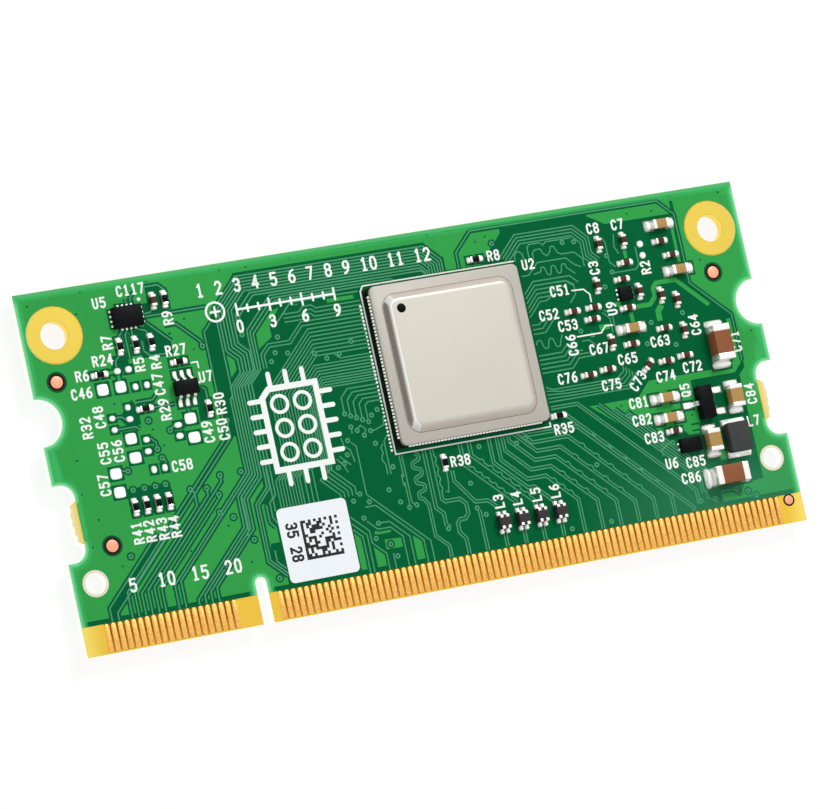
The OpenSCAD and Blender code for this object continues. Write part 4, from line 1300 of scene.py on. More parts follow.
def laminate_finish():
    """Bare laminate: a faint weave on its faces, and thin layers on its cut edges, which are painted near
    white and glow with painted light.
    """
    surface = Surface("laminate", 0.5, specular=0.35)
    base = finishes().laminate
    across = surface.maths("ABSOLUTE", surface.axis("X"))
    waves = [surface.maths("SINE", surface.maths("MULTIPLY", surface.axis(letter), math.tau / (step * MM)))
             for letter, step in (("X", WEAVE_STEP), ("Y", WEAVE_STEP), ("Z", LAYER_STEP))]
    weave = surface.ramp(surface.maths("MULTIPLY", *waves[:2]), -1, 1)
    face = surface.mix(weave, [0.95 * c for c in base], base)
    face = surface.mix(surface.ramp(across, *BOARD_END_X), face, paint("#ffe165"))
    on_stub = surface.maths("MULTIPLY", surface.ramp(across, *STUB_X),
                            surface.ramp(surface.axis("Y"), *STUB_Y))
    face = surface.mix(on_stub, face, finishes().stub)
    # The cut edges are painted near white, partly their own pale colour and partly painted light, and glow
    # with painted light.
    side = surface.mix(surface.ramp(waves[2], 0.7, 1.0), paint("#f4fff0"), paint("#dcefcf"))
    flat = surface.flat()
    surface.colour(surface.mix(flat, side, face), 300, 0.16)
    surface.glow(surface.mix(flat, side, BLACK), 0.3)
    surface.relief(7000, 0.000003)


def gold_finishes():
    """Gold of the contacts, which is specked, and of the rings, whose hole walls glow with painted light.
    """
    gold = Surface("gold", 0.42, metallic=0.55)
    specks = gold.group("fine_specks", Scale=6500.0, Cover=0.5)
    gold.colour(gold.mix(specks.outputs["Mask"], finishes().gold, paint("#f0a94c")), 1800, 0.2)
    gold.relief(9000, 0.000003)
    ring = Surface("ring_gold", 0.42, metallic=0.45)
    ring.colour(finishes().ring_gold, 300, 0.1)
    # Painted light: the upright walls of the ring holes glow.
    ring.glow(ring.mix(ring.flat(), finishes().ring_gold, BLACK), 0.45)
    ring.relief(5000, 0.000003)


def lid_finishes():
    """Plated lid: a duller flange painted darker than the crest as painted shade, and a crest with painted
    light and shade on its walls.
    """
    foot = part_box("processor_lid")[0].z + LID_SHEET * MM
    for name, tint, metallic in (("lid_metal", finishes().lid, 0.45),
                                 ("lid_flange", finishes().lid_flange, 0.15)):
        surface = Surface(name, 0.42, metallic=metallic, specular=0.2)
        if name == "lid_metal":
            # Painted light and shade by the way the crest's faces turn: lighter walls, a painted highlight
            # on the left shoulder, painted shade on the left wall and a painted shadow line at the foot.
            for value, low, high, code in (
                    (surface.facing("Z"), 0.97, 0.85, "#dcd2c7"),
                    (surface.facing("X"), -0.15, -0.25, "#fffdf8"),
                    (surface.facing("X"), -0.6, -0.66, "#978e87"),
                    (surface.axis("Z"), foot + 0.00003, foot + 0.00001, "#7a685c")):
                tint = surface.mix(surface.ramp(value, low, high), tint, paint(code))
        surface.colour(tint, 180, 0.06)
        surface.rough(0.36, 0.48, 900)
        surface.relief(14000, 0.000002)


def gap_finish():
    """Painted shade between the contacts: laminate painted dark, lighter towards the board's edge."""
    gap = Surface("contact_gap_shade", 0.5, specular=0.08)
    gap.colour(gap.mix(gap.ramp(gap.axis("Y"), *GAP_END_Y), finishes().gap, paint("#bd8526")), 2500, 0.2)
    gap.relief(8000, 0.000003)


def plain_finish(name, colour, roughness, amount, metallic=0.0, specular=0.08, tone=2500, fine=8000,
                 depth=0.000003, glow=0.0):
    """A finish of one colour with a wander of tone, a fine relief and perhaps white light of its own."""
    surface = Surface(name, roughness, metallic, specular)
    surface.colour(paint(colour) if isinstance(colour, str) else colour, tone, amount)
    surface.relief(fine, depth)
    if glow:
        surface.glow(WHITE, glow)


def plain_finishes():
    """Metals, bodies, inks and paper."""
    for name, code, roughness, metallic, depth, glow in (
            # Painted light: the solder glows a little and the stubs round the processor glow more, so both
            # read bright in shade.
            ("tin", "#fbf9f5", 0.25, 0.62, 0.000005, 0), ("solder", "#fffefb", 0.2, 0.32, 0.000012, 0.14),
            ("stub_metal", "#fffaf0", 0.35, 0.1, 0.000002, 0.35),
            # The lands under the parts are tin painted dark, as painted shade round the solder heaps.
            ("shaded_land_tin", "#7d8072", 0.4, 0.3, 0.000005, 0)):
        plain_finish(name, code, roughness, 0.08, metallic, 0.5, fine=3600, depth=depth, glow=glow)
    for name, code, roughness, amount in (
            ("ceramic_tan", "#b8935a", 0.35, 0.2), ("ceramic_brown", "#955d3e", 0.38, 0.16),
            ("ceramic_dark", "#55342a", 0.4, 0.2), ("resistor_black", "#06070a", 0.35, 0.3),
            ("resistor_side", "#d9d4c8", 0.45, 0.1), ("ferrite", "#424644", 0.6, 0.25),
            ("filter_body", "#3d3a3c", 0.45, 0.2), ("substrate", "#0e140f", 0.4, 0.3),
            # The near-black sheet round the processor's substrate is painted shadow.
            ("package_shadow", "#1b2a20", 0.4, 0.3), ("silicon", "#3b3f46", 0.2, 0.1),
            # The dark brown of the fiducial windows is painted shade on the laminate.
            ("thermal_paste", "#c9ccd1", 0.6, 0.1), ("shaded_window_laminate", "#2c1410", 0.4, 0.25),
            ("hole_resin", "#efe9cf", 0.5, 0.1), ("dot_ink", "#020203", 0.5, 0.1)):
        plain_finish(name, code, roughness, amount)
    plain_finish("package_black", "#090b0f", 0.45, 0.25, fine=12000)
    plain_finish("solder_ball", "#c3c6ca", 0.3, 0.1, 1.0, 0.5, 3000, 8000, 0.000004)
    plain_finish("bare_copper", finishes().copper, 0.45, 0.3, 0.25, 0.5, 2600, 9000, 0.000005)
    plain_finish("legend_ink", finishes().ink, 0.55, 0.06, specular=0.2, tone=3000, fine=12000)
    plain_finish("label_paper", "#f6fcff", 0.38, 0.03, specular=0.4, tone=600, fine=9000, depth=0.000002)
    plain_finish("label_ink", "#0d1016", 0.5, 0.1, specular=0.3, tone=3000, depth=0.0)


def dress_node(node, finish):
    """Puts a finish on a node that is shown as the frame has it."""
    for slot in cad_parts[node].material_slots:
        slot.material = FINISH[finish]


def make_finishes():
    """Makes every finish and dresses the nodes that no piece replaces."""
    for work in (tone_group, relief_group, speck_group, mask_finishes, laminate_finish, gold_finishes,
                 lid_finishes, gap_finish, plain_finishes):
        work()
    # The lands under the parts take the tin painted dark as painted shade.
    for node, finish in (("circuit_board", "laminate"), ("component_lands", "shaded_land_tin"),
                         ("processor_substrate", "substrate"), ("processor_die", "silicon"),
                         ("thermal_layer", "thermal_paste"), ("gate_chip_leads", "tin"),
                         ("transistor_leads", "tin")):
        dress_node(node, finish)


# Parts
# How far solder reaches past a part's end, and its height as a share of the part's, by the part's length
SOLDER_REACH = {1.0: (0.3, 0.55), 1.65: (0.64, 0.55), 2.0: (0.5, 0.4), 3.2: (0.58, 0.4)}


def solder_mound(x, length, width, height, squareness=2.6):
    """A domed heap of solder on height 0 whose outline lies between an ellipse and a rectangle."""
    mound = primitive(bpy.ops.mesh.primitive_uv_sphere_add, segments=16, ring_count=8, radius=1)
    for vertex in mound.data.vertices:
        u, v, w = vertex.co
        spread = math.hypot(u, v)
        if spread > 0:
            spread /= (abs(u) ** squareness + abs(v) ** squareness) ** (1 / squareness)
        vertex.co = (x + u * spread * length / 2, v * spread * width / 2, max(0.0, w) * height)
    return dress(mound, "solder")


def chip_ends(sample, drop_top, softness, segments, mound):
    """The two wrapped metal ends of a chip, each with its heap of solder.

    The mound is given as its reach past the end, its length, width and height, and its squareness."""
    half, height = sample["width"] / 2, sample["high"] - sample["low"]
    reach, *measures = mound
    parts = []
    for side in (-1, 1):
        low, high = sorted((side * sample["inner"], side * sample["length"] / 2))
        cap = block((low, -half, 0), (high, half, height - drop_top))
        bevel_edges(cap, every, min(softness, (high - low) * 0.26, half * 0.28), segments)
        parts.append(dress(cap, "tin"))
        parts.append(solder_mound(side * (sample["length"] / 2 + reach), *measures))
    return parts


def two_ended_part(sample, body, name):
    """A chip body between two wrapped metal ends with their solder, standing on height 0."""
    length, width, height = sample["length"], sample["width"], sample["high"] - sample["low"]
    end, side = sample["inner"] + 0.06, width / 2 - 0.02
    core = block((-end, -side, 0.01), (end, side, height - 0.03))
    bevel_edges(core, lambda e: abs(e.verts[0].co.x - e.verts[1].co.x) > 0.01, min(0.05, width * 0.08), 2)
    reach, rise = SOLDER_REACH[min(SOLDER_REACH, key=lambda k: abs(k - length))]
    mound = (reach * 0.45, reach * 1.1, width * 1.08, rise * height, 2.2 if length < 2 else 3)
    return joined([dress(core, body), *chip_ends(sample, 0, 0.09, 3, mound)], name)


def two_ended_pieces(nodes, finish):
    """Replaces each node of two-ended chips by a piece of detailed ones."""
    for node in nodes:
        samples = [placing_of(corners) for corners in loose_parts(node)]
        template = two_ended_part(samples[0], finish, node + "_template")
        piece = scattered(node + "_piece", template, [(s["x"], s["y"], 0, s["angle"]) for s in samples])
        drop(template)
        if samples[0]["low"] < UNDER:
            stand_on(piece, samples[0]["high"], -1)
        else:
            stand_on(piece, samples[0]["low"])
        hand_over(piece, (node,))


def resistor_part(sample, name):
    """A thin ceramic chip with a black glazed top between two bright ends."""
    inner, half, height = sample["inner"], sample["width"] / 2, sample["high"] - sample["low"]
    core = block((-inner - 0.05, 0.02 - half, 0.01), (inner + 0.05, half - 0.02, height - 0.05))
    glaze = block((-inner - 0.03, 0.01 - half, height - 0.1), (inner + 0.03, half - 0.01, height + 0.01))
    bevel_edges(glaze, above(height - 0.01), 0.025, 2)
    mound = (0.12, 0.36, sample["width"] * 1.04, height * 0.62)
    return joined([dress(core, "resistor_side"), dress(glaze, "resistor_black"),
                   *chip_ends(sample, 0.02, 0.04, 2, mound)], name)


def bevelled_body(node, finish, edge=0.03, corner=0.0, segments=2):
    """A moulded body in a node's box, with softened edges."""
    low, high = box_mm(node)
    body = block(low, high)
    if corner:
        bevel_edges(body, upright, corner, 4)
    bevel_edges(body, above((low.z + high.z) / 2), edge, segments)
    return dress(body, finish)


def terminal_row(low, high, across, count, step, out=0.2, width=0.18, height=0.1):
    """Small metal terminals along two opposite sides of a leadless chip."""
    parts = []
    other = 1 - across
    middle = ((low + high) / 2)[other]
    for side in (-1, 1):
        for i in range(count):
            face = low[across] if side < 0 else high[across]
            near, far = sorted((face + side * 0.03, face + side * out))
            along = middle + (i - (count - 1) / 2) * step
            start, end = Vector((0, 0, low.z)), Vector((0, 0, low.z + height))
            start[across], end[across] = near, far
            start[other], end[other] = along - width / 2, along + width / 2
            terminal = block(start, end)
            bevel_edges(terminal, above(low.z + height / 2), 0.03, 2)
            parts.append(dress(terminal, "solder"))
    return parts


def top_mark(x, y, z, r, finish="dot_ink"):
    """A small printed or moulded dot on a top face."""
    dot = primitive(bpy.ops.mesh.primitive_cylinder_add, (x, y, z - 0.004),
                    vertices=24, radius=r, depth=0.02)
    bevel_edges(dot, wholly_above(z), 0.004, 1)
    return dress(dot, finish)


def ball_template(diameter, height):
    """A solder ball squeezed between two pads."""
    ball = primitive(bpy.ops.mesh.primitive_uv_sphere_add, segments=10, ring_count=6, radius=0.5)
    ball.scale = (diameter, diameter, height * 1.12)
    bpy.ops.object.transform_apply(location=True, rotation=False, scale=True)
    for vertex in ball.data.vertices:
        vertex.co.z = max(-height / 2, min(height / 2, vertex.co.z))
    return dress(ball, "solder_ball")


def ball_piece(node):
    """Replaces a node of plain solder balls by squeezed ones."""
    boxes = [tuple(extent(corners)) for corners in loose_parts(node)]
    places = [((low.x + high.x) / 2, (low.y + high.y) / 2, (low.z + high.z) / 2, 0) for low, high in boxes]
    low, high = boxes[-1]
    template = ball_template((high.x - low.x) * 1.12, high.z - low.z)
    piece = scattered(node + "_piece", template, places)
    drop(template)
    hand_over(piece, (node,), smooth=60)


GAP_FILL = 0.006
GAP_INSET = 0.02


def make_contacts():
    """Gold contacts of both faces, rounded at their upper ends and softened along their edges."""
    for node, side in (("edge_contacts_front", 1), ("edge_contacts_back", -1)):
        boxes = [tuple(extent(corners)) for corners in loose_parts(node)]
        low, high = boxes[0]
        width, length, thick = high.x - low.x, high.y - low.y, high.z - low.z
        template = block((-width / 2, 0, 0), (width / 2, length, thick))
        bevel_edges(template, lambda e: upright(e) and e.verts[0].co.y > length / 2, width * 0.49, 6)
        bevel_edges(template, wholly_above(thick / 2), 0.03, 2)
        dress(template, "gold")
        placings = [((a.x + b.x) / 2, a.y, 0, 0) for a, b in boxes]
        piece = scattered(node + "_piece", template, placings)
        drop(template)
        put_on_face(piece, side)
        hand_over(piece, (node,))
        # Dark plates between the contacts, painted shade in the gaps.
        shade_sheets = []
        reach = width / 2 - GAP_INSET
        for first, last in ((0, SHORT_GROUP_N - 1), (SHORT_GROUP_N, len(boxes) - 1)):
            start = (contact_x(first) - width / 2 + BOARD_LOW.x + GAP_INSET, low.y, 0)
            end = (contact_x(last) + reach + BOARD_LOW.x, MASK_END + BOARD_LOW.y, GAP_FILL)
            shade_sheets.append(dress(block(start, end), "contact_gap_shade"))
        shade_sheet = joined(shade_sheets, node + "_gap_shade")
        put_on_face(shade_sheet, side)
        hand_over(shade_sheet)


RING_BORE_R = 1.25
RING_WALL = 0.03
RING_SOFT = 0.02


def make_rings():
    """Mounting rings on both faces with the plated wall of the hole between them."""
    bore = RING_BORE_R - RING_WALL
    for node in ("mounting_ring_left", "mounting_ring_right"):
        low, high = box_mm(node)
        centre = (low + high) / 2
        outer = (high.x - low.x) / 2
        upper = [(RING_BORE_R, TOP), (outer, TOP), (outer, high.z - RING_SOFT), (outer - RING_SOFT, high.z),
                 (bore + RING_SOFT, high.z), (bore, high.z - RING_SOFT)]
        lower = [(bore, low.z + RING_SOFT), (bore + RING_SOFT, low.z), (outer - RING_SOFT, low.z),
                 (outer, low.z + RING_SOFT), (outer, UNDER), (RING_BORE_R, UNDER)]
        mesh = bpy.data.meshes.new(node + "_piece")
        corners = [(centre.x + r, centre.y, z) for r, z in lower + upper]
        mesh.from_pydata(corners, [(i, (i + 1) % len(corners)) for i in range(len(corners))], [])
        obj = shown(node + "_piece", mesh)
        edit(obj, "EDGE", every, lambda: bpy.ops.mesh.spin(
            steps=72, angle=math.tau, center=(centre.x, centre.y, 0), axis=(0, 0, 1)))
        edit(obj, "EDGE", every, lambda: bpy.ops.mesh.remove_doubles(threshold=0.001))
        edit(obj, "FACE", every, lambda: bpy.ops.mesh.normals_make_consistent(inside=False))
        hand_over(dress(obj, "ring_gold"), (node,))


def make_fiducials():
    """Bare copper targets in dark round windows of the mask, whose laminate is darkened as painted shade,
    and the light rims of the locating holes.
    """
    marks, windows = [], []
    for corners in loose_parts("fiducial_marks"):
        low, high = extent(corners)
        x, y, r = (low.x + high.x) / 2, (low.y + high.y) / 2, (high.x - low.x) / 2
        window_r = FIDUCIAL_WINDOW_D / 2 if y - BOARD_LOW.y > MASK_END else SPOT_WINDOW_R
        # The dark discs round the targets are laminate darkened as painted shade.
        for radius, height, finish, group in ((r, 0.04, "bare_copper", marks),
                                              (window_r, 0.006, "shaded_window_laminate", windows)):
            part = primitive(bpy.ops.mesh.primitive_cylinder_add, (x, y, TOP + height / 2),
                             vertices=40, radius=radius, depth=height)
            if group is marks:
                bevel_edges(part, wholly_above(TOP + 0.03), 0.012, 2)
            group.append(dress(part, finish))
    for x in (LOCATING_HOLE_X, BOARD_L - LOCATING_HOLE_X):
        place = (x + BOARD_LOW.x, LOCATING_HOLE_Y + BOARD_LOW.y, TOP)
        rim = primitive(bpy.ops.mesh.primitive_circle_add, place,
                        vertices=48, radius=HOLE_WINDOW_D / 2, fill_type="NGON")
        edit(rim, "FACE", every, lambda: (
            bpy.ops.mesh.inset(thickness=(HOLE_WINDOW_D - LOCATING_HOLE_D) / 2),
            bpy.ops.mesh.delete(type="FACE")))
        raise_all(rim, 0.008)
        windows.append(dress(rim, "hole_resin"))
    hand_over(joined(marks, "fiducial_targets"), ("fiducial_marks",))
    hand_over(joined(windows, "fiducial_windows"))


def land_mound(low, high, height, squareness):
    """A heap of solder that covers a land."""
    mound = solder_mound(0, high.x - low.x, high.y - low.y, height, squareness)
    return shifted(mound, (low.x + high.x) / 2, (low.y + high.y) / 2, TOP + 0.01)


# How far past the box of the bent leads their lands may lie
LEAD_REACH = 0.4


def make_lands():
    """Tinned lands with no part on them, and the solder under the bent leads, as low heaps."""
    mounds = []
    for corners in loose_parts("bare_lands"):
        low, high = extent(corners)
        large = min(high.x - low.x, high.y - low.y) > 0.8
        mounds.append(land_mound(low, high, 0.13 if large else 0.17, 5 if large else 2.5))
    hand_over(joined(mounds, "bare_land_mounds"), ("bare_lands",), smooth=60)
    mounds = []
    for node in ("gate_chip_leads", "transistor_leads"):
        near, far = box_mm(node)
        for corners in loose_parts("component_lands"):
            low, high = extent(corners)
            centre = (low + high) / 2
            inside = all(near[i] - LEAD_REACH < centre[i] < far[i] + LEAD_REACH for i in (0, 1))
            if inside and centre.z > TOP:
                mounds.append(land_mound(low, high, 0.07, 6))
    hand_over(joined(mounds, "lead_solder"), smooth=60)


STUB_PITCH = 0.302
STUB_COUNT = 42
STUB_DROP = 0.22
LID_SHEET = 0.32
LID_RIM = 0.85
LID_CORNER = 0.55
LID_CREST_CORNER = 1.3
LID_SINK = 0.002
LID_DOT = (2.355, 2.335, 0.41)
# Steps of the stamped slope from the flange to the crest, as (inwards, upwards)
LID_SLOPE = ((0.06, 0.01), (0.05, 0.06), (0.44, 0.5), (0.08, 0.035), (0.15, 0.014), (0.1, 0.002))


def make_lid():
    """Lid of formed sheet with soft edges and a dot in one corner."""
    low, high = box_mm("processor_lid")
    flange_top = low.z + LID_SHEET
    flange = block(low, (high.x, high.y, flange_top))
    bevel_edges(flange, upright, LID_CORNER, 6)
    bevel_edges(flange, wholly_above(flange_top - 0.01), 0.09, 3)
    top = flange_top - LID_SINK
    crest = block((low.x + LID_RIM, low.y + LID_RIM, low.z), (high.x - LID_RIM, high.y - LID_RIM, top))
    bevel_edges(crest, upright, LID_CREST_CORNER, 10)
    share = (high.z - flange_top + LID_SINK) / sum(up for _, up in LID_SLOPE)
    for inwards, upwards in LID_SLOPE:
        edit(crest, "FACE", wholly_above(top - 0.0001),
             lambda: bpy.ops.mesh.inset(thickness=inwards, depth=upwards * share))
        top += upwards * share
    dot_x, dot_y, dot_r = LID_DOT
    lid = joined([dress(flange, "lid_flange"), dress(crest, "lid_metal"),
                  top_mark(low.x + dot_x, high.y - dot_y, high.z, dot_r)], "processor_lid_piece")
    hand_over(lid, ("processor_lid",), smooth=50)


def make_processor():
    """The lid, the plated stubs, a dark sheet of painted shadow round the substrate, and the solder balls
    under it.
    """
    make_lid()
    low, high = box_mm("processor_substrate")
    stub = dress(block((-0.09, -0.02, 0), (0.09, 0.13, 0.2)), "stub_metal")
    centre = (low + high) / 2
    z = high.z - STUB_DROP
    placings = []
    for i in range(STUB_COUNT):
        along = (i - (STUB_COUNT - 1) / 2) * STUB_PITCH
        placings += [(low.x, centre.y + along, z, math.pi / 2), (high.x, centre.y + along, z, -math.pi / 2),
                     (centre.x + along, low.y, z, math.pi), (centre.x + along, high.y - 0.1, z, 0)]
    # A dark sheet of painted shadow on the board under and round the substrate, widest on its left.
    painted_shadow = block((low.x - 0.26, low.y - 0.1, TOP + 0.01), (high.x + 0.1, high.y, TOP + 0.04))
    piece = joined([scattered("substrate_stubs", stub, placings), dress(painted_shadow, "package_shadow")],
                   "substrate_stubs")
    drop(stub)
    hand_over(piece)
    ball_piece("processor_balls")


def make_underside_packages():
    """Moulded packages that stand under the board, with their solder balls."""
    for node in ("memory_chip", "flash_chip"):
        body = block(*box_mm(node))
        bevel_edges(body, every, 0.05, 2)
        edit(body, "FACE", lambda f: f.normal.z < -0.9, lambda: bpy.ops.mesh.inset(thickness=0.25, depth=0))
        hand_over(joined([dress(body, "package_black")], node + "_body"), (node,))
        ball_piece(node + "_balls")


# Rows of terminals of the leadless chips, as (axis across the row, count, step)
TERMINALS = {
    "interface_chip": ((0, 4, 0.42), (1, 4, 0.4)),
    "charge_chip": ((0, 3, 0.42),),
    "converter_chip": ((0, 2, 0.5),),
}


def make_small_chips():
    """Leadless chips with their terminals, and the bodies of the chips with bent leads."""
    for node, rows in TERMINALS.items():
        parts = [bevelled_body(node, "package_black")]
        for row in rows:
            parts += terminal_row(*box_mm(node), *row)
        hand_over(joined(parts, node + "_piece"), (node,))
    for node in ("gate_chip", "transistor"):
        low, high = box_mm(node)
        body = block(low, high)
        bevel_edges(body, above(high.z - 0.01), 0.05, 2)
        hand_over(joined([dress(body, "package_black")], node + "_body"), (node,))


def make_inductor():
    """Moulded inductor with a rounded solder bar along each end."""
    low, high = box_mm("power_inductor")
    parts = [bevelled_body("power_inductor", "ferrite", 0.06, 0.12)]
    for side in (-1, 1):
        face = low.y if side < 0 else high.y
        near, far = sorted((face - side * 0.08, face + side * 0.42))
        bar = block((low.x - 0.05, near, low.z), (high.x + 0.05, far, low.z + 0.3))
        bevel_edges(bar, lambda e: all(v.co.z > low.z + 0.2 and (v.co.y - face) * side > 0.3
                                       for v in e.verts), 0.22, 4, 0.25)
        parts.append(dress(bar, "solder"))
    hand_over(joined(parts, "power_inductor_piece"), ("power_inductor",))


def make_power_parts():
    """The inductor, and the line filters with four soldered ends each."""
    make_inductor()
    for i in range(1, 5):
        node = f"line_filter_{i}"
        low, high = box_mm(node)
        body = block((low.x, low.y + 0.03, low.z + 0.02), (high.x, high.y - 0.03, high.z - 0.02))
        bevel_edges(body, every, 0.04, 2)
        parts = [dress(body, "filter_body")]
        centre = (low + high) / 2
        for sx in (-1, 1):
            x = centre.x + sx * 0.275
            for sy in (-1, 1):
                for half, start, end, top, test, soft, segments, finish in (
                        (0.15, 0.36, 0.625, high.z, every, 0.05, 2, "tin"),
                        (0.17, 0.6, 0.98, low.z + 0.32, above(low.z + 0.1), 0.11, 3, "solder")):
                    y0, y1 = sorted((centre.y + sy * start, centre.y + sy * end))
                    part = block((x - half, y0, low.z), (x + half, y1, top))
                    bevel_edges(part, test, soft, segments)
                    parts.append(dress(part, finish))
        hand_over(joined(parts, node + "_piece"), (node,))


CODE_CELLS = 14
CODE_CELL = 0.242
CODE_X = 20.8
CODE_Y = 4.65


def code_squares():
    """Squares of a made-up code: two full sides, two dotted sides and random cells between them."""
    picker = random.Random(SEED)
    last, side = CODE_CELLS - 1, CODE_CELL * 1.02
    squares = []
    for row in range(CODE_CELLS):
        for column in range(CODE_CELLS):
            dark = picker.random() < 0.5
            if 0 in (row, column):
                dark = True
            elif last in (row, column):
                dark = (row + column) % 2 == 0
            if dark:
                x, y = CODE_X + (column + 0.5) * CODE_CELL, CODE_Y + (row + 0.5) * CODE_CELL
                squares.append(rectangle(x, y, side, side))
    return squares


def make_label():
    """Paper sticker with rounded corners, a square printed code and a number."""
    low, high = box_mm("label")
    paper = block((low.x, low.y, TOP + 0.036), (high.x, high.y, high.z))
    bevel_edges(paper, upright, 0.45, 8)
    bevel_edges(paper, above(high.z - 0.01), 0.012, 1)
    hand_over(dress(paper, "label_paper"), ("label",))
    shapes = code_squares() + inked(written("35 28", 19.98, 6.35, -90, 1.12, 0.62), 0.2)
    ink_sheet("label_print", shapes, high.z - 0.002, 0.008, "label_ink")


def make_resistors():
    """Chip resistors, all of one size, as copies of one part."""
    template = None
    for node in sorted(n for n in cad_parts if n.startswith("resistor_")):
        sample = placing_of(loose_parts(node)[0])
        template = template or resistor_part(sample, "resistor_template")
        placing = (sample["x"], sample["y"], sample["low"], sample["angle"])
        hand_over(scattered(node + "_piece", template, [placing]), (node,))
    drop(template)


def make_capacitors():
    """Ceramic chip capacitors, dark, tan and brown."""
    names = sorted(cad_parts)
    two_ended_pieces(("signal_capacitors", "memory_capacitors", "regulator_capacitors", "core_capacitors",
                      "underside_capacitors"), "ceramic_dark")
    two_ended_pieces([n for n in names if n.startswith(("reservoir_", "output_"))], "ceramic_tan")
    two_ended_pieces([n for n in names if n.startswith("bulk_")], "ceramic_brown")


def under_routes():
    """Traces of the underside: contact fans and two cross buses."""
    lines = bus([(19.55, CONTACT_TOP), (19.55, 5.0), (24.0, 9.45), (29.5, 9.45)], range(0, -8, -1), 0.6)
    lines += bus([(43.55, CONTACT_TOP), (43.55, 7.2), (41.0, 9.75)], range(0, -10, -1), 0.6)
    lines += bus([(20.3, 22.0), (25.0, 22.0), (28.6, 25.6), (45.0, 25.6)], range(6), 0.3)
    lines += bus([(46.0, 22.0), (52.0, 28.0), (60.0, 28.0), (62.0, 26.0), (62.0, 20.0)], range(4), 0.3)
    lines += bus([(3.95, CONTACT_TOP), (3.95, 6.0), (6.0, 8.05)], range(0, -9, -1), 0.6)
    return lines


def make_mask():
    """Solder mask of both faces, over the traces and copper areas of each."""
    settings = board()
    edge, holes = board_outline()
    wide, fine = settings.trace_width / MM, settings.fine_width / MM
    lines = [(wide, line) for line in left_routes()]
    lines += [(fine, line) for line in middle_routes() + processor_routes() + right_routes()]
    shapes = mask_shapes(1, edge, holes, lines, heavy_routes(), POURS, CLEARINGS, RINGED_VIAS, SUNK_VIAS)
    mask_sheet("solder_mask_upper", 1, edge, shapes)
    pours = (((0.3, 2.95), (67.3, 2.95), (67.3, 30.7), (0.3, 30.7)),)
    clearings = (((29.8, 8.6), (46.6, 8.6), (46.6, 25.8), (29.8, 25.8)),)
    lines = [(wide, line) for line in under_routes()]
    shapes = mask_shapes(-1, edge, holes, lines, (), pours, clearings, RINGED_VIAS[::2], SUNK_VIAS)
    mask_sheet("solder_mask_lower", -1, edge, shapes)


# Stage
# The camera's right, up and back, fitted to the board's corners, contacts, notches and holes
CAMERA_AXES = Matrix((
    (0.91423, -0.213479, 0.344398),
    (0.160306, 0.971169, 0.176446),
    (-0.372136, -0.106103, 0.922094),
)).transposed()
SENSOR_W = 36
CLIP_RANGE = (0.01, 10)
KEY_PLACE, KEY_SIZE = (0.115, 0.2, 0.29), 0.1
FILL_PLACE, FILL_SIZE = (-0.6, -0.15, 0.35), 0.5
FLOOR_GREY = (0.16, 0.16, 0.16)
FLOOR_GLOW = 0.86
# The sky grows from its low to its full light between these heights over the horizon
SKY_RISE = {"From Min": 0.05, "From Max": 0.75}
SKY_LEAN = 0.55


def make_stage():
    """Camera, lamps, sky and floor."""
    settings, scene = stage(), bpy.context.scene
    scene.view_settings.view_transform = "Standard"
    optics = bpy.data.cameras.new("camera")
    optics.lens = settings.camera_lens
    optics.sensor_width = SENSOR_W
    optics.clip_start, optics.clip_end = CLIP_RANGE
    scene.camera = bpy.data.objects.new("camera", optics)
    scene.collection.objects.link(scene.camera)
    scene.camera.location = settings.camera_place
    scene.camera.rotation_euler = CAMERA_AXES.to_euler()
    for name, power, place, size in (("key_lamp", settings.key_power, KEY_PLACE, KEY_SIZE),
                                     ("fill_lamp", settings.fill_power, FILL_PLACE, FILL_SIZE)):
        data = bpy.data.lights.new(name, "AREA")
        data.energy = power
        data.size = size
        lamp = bpy.data.objects.new(name, data)
        scene.collection.objects.link(lamp)
        lamp.location = place
        lamp.rotation_euler = (-Vector(place)).to_track_quat("-Z", "Y").to_euler()
    floor = primitive(bpy.ops.mesh.primitive_plane_add, size=settings.floor_size)
    floor.name = "floor"
    floor.data.materials.append(floor_finish())
    make_sky(settings.sky)


def floor_finish():
    """White paper that the camera sees as pure white, with the object's faint shadow kept."""
    surface = Surface("floor_white", 0.9, specular=0.0)
    wire(surface.tree, FLOOR_GREY, surface.shader["Base Color"])
    paper = surface.tree.nodes["Principled BSDF"].outputs[0]
    light = node_with(surface.tree, "Emission", {"Strength": FLOOR_GLOW}).outputs[0]
    total = node_with(surface.tree, "AddShader", (paper, light)).outputs[0]
    wire(surface.tree, total, surface.tree.nodes["Material Output"].inputs["Surface"])
    return FINISH["floor_white"]


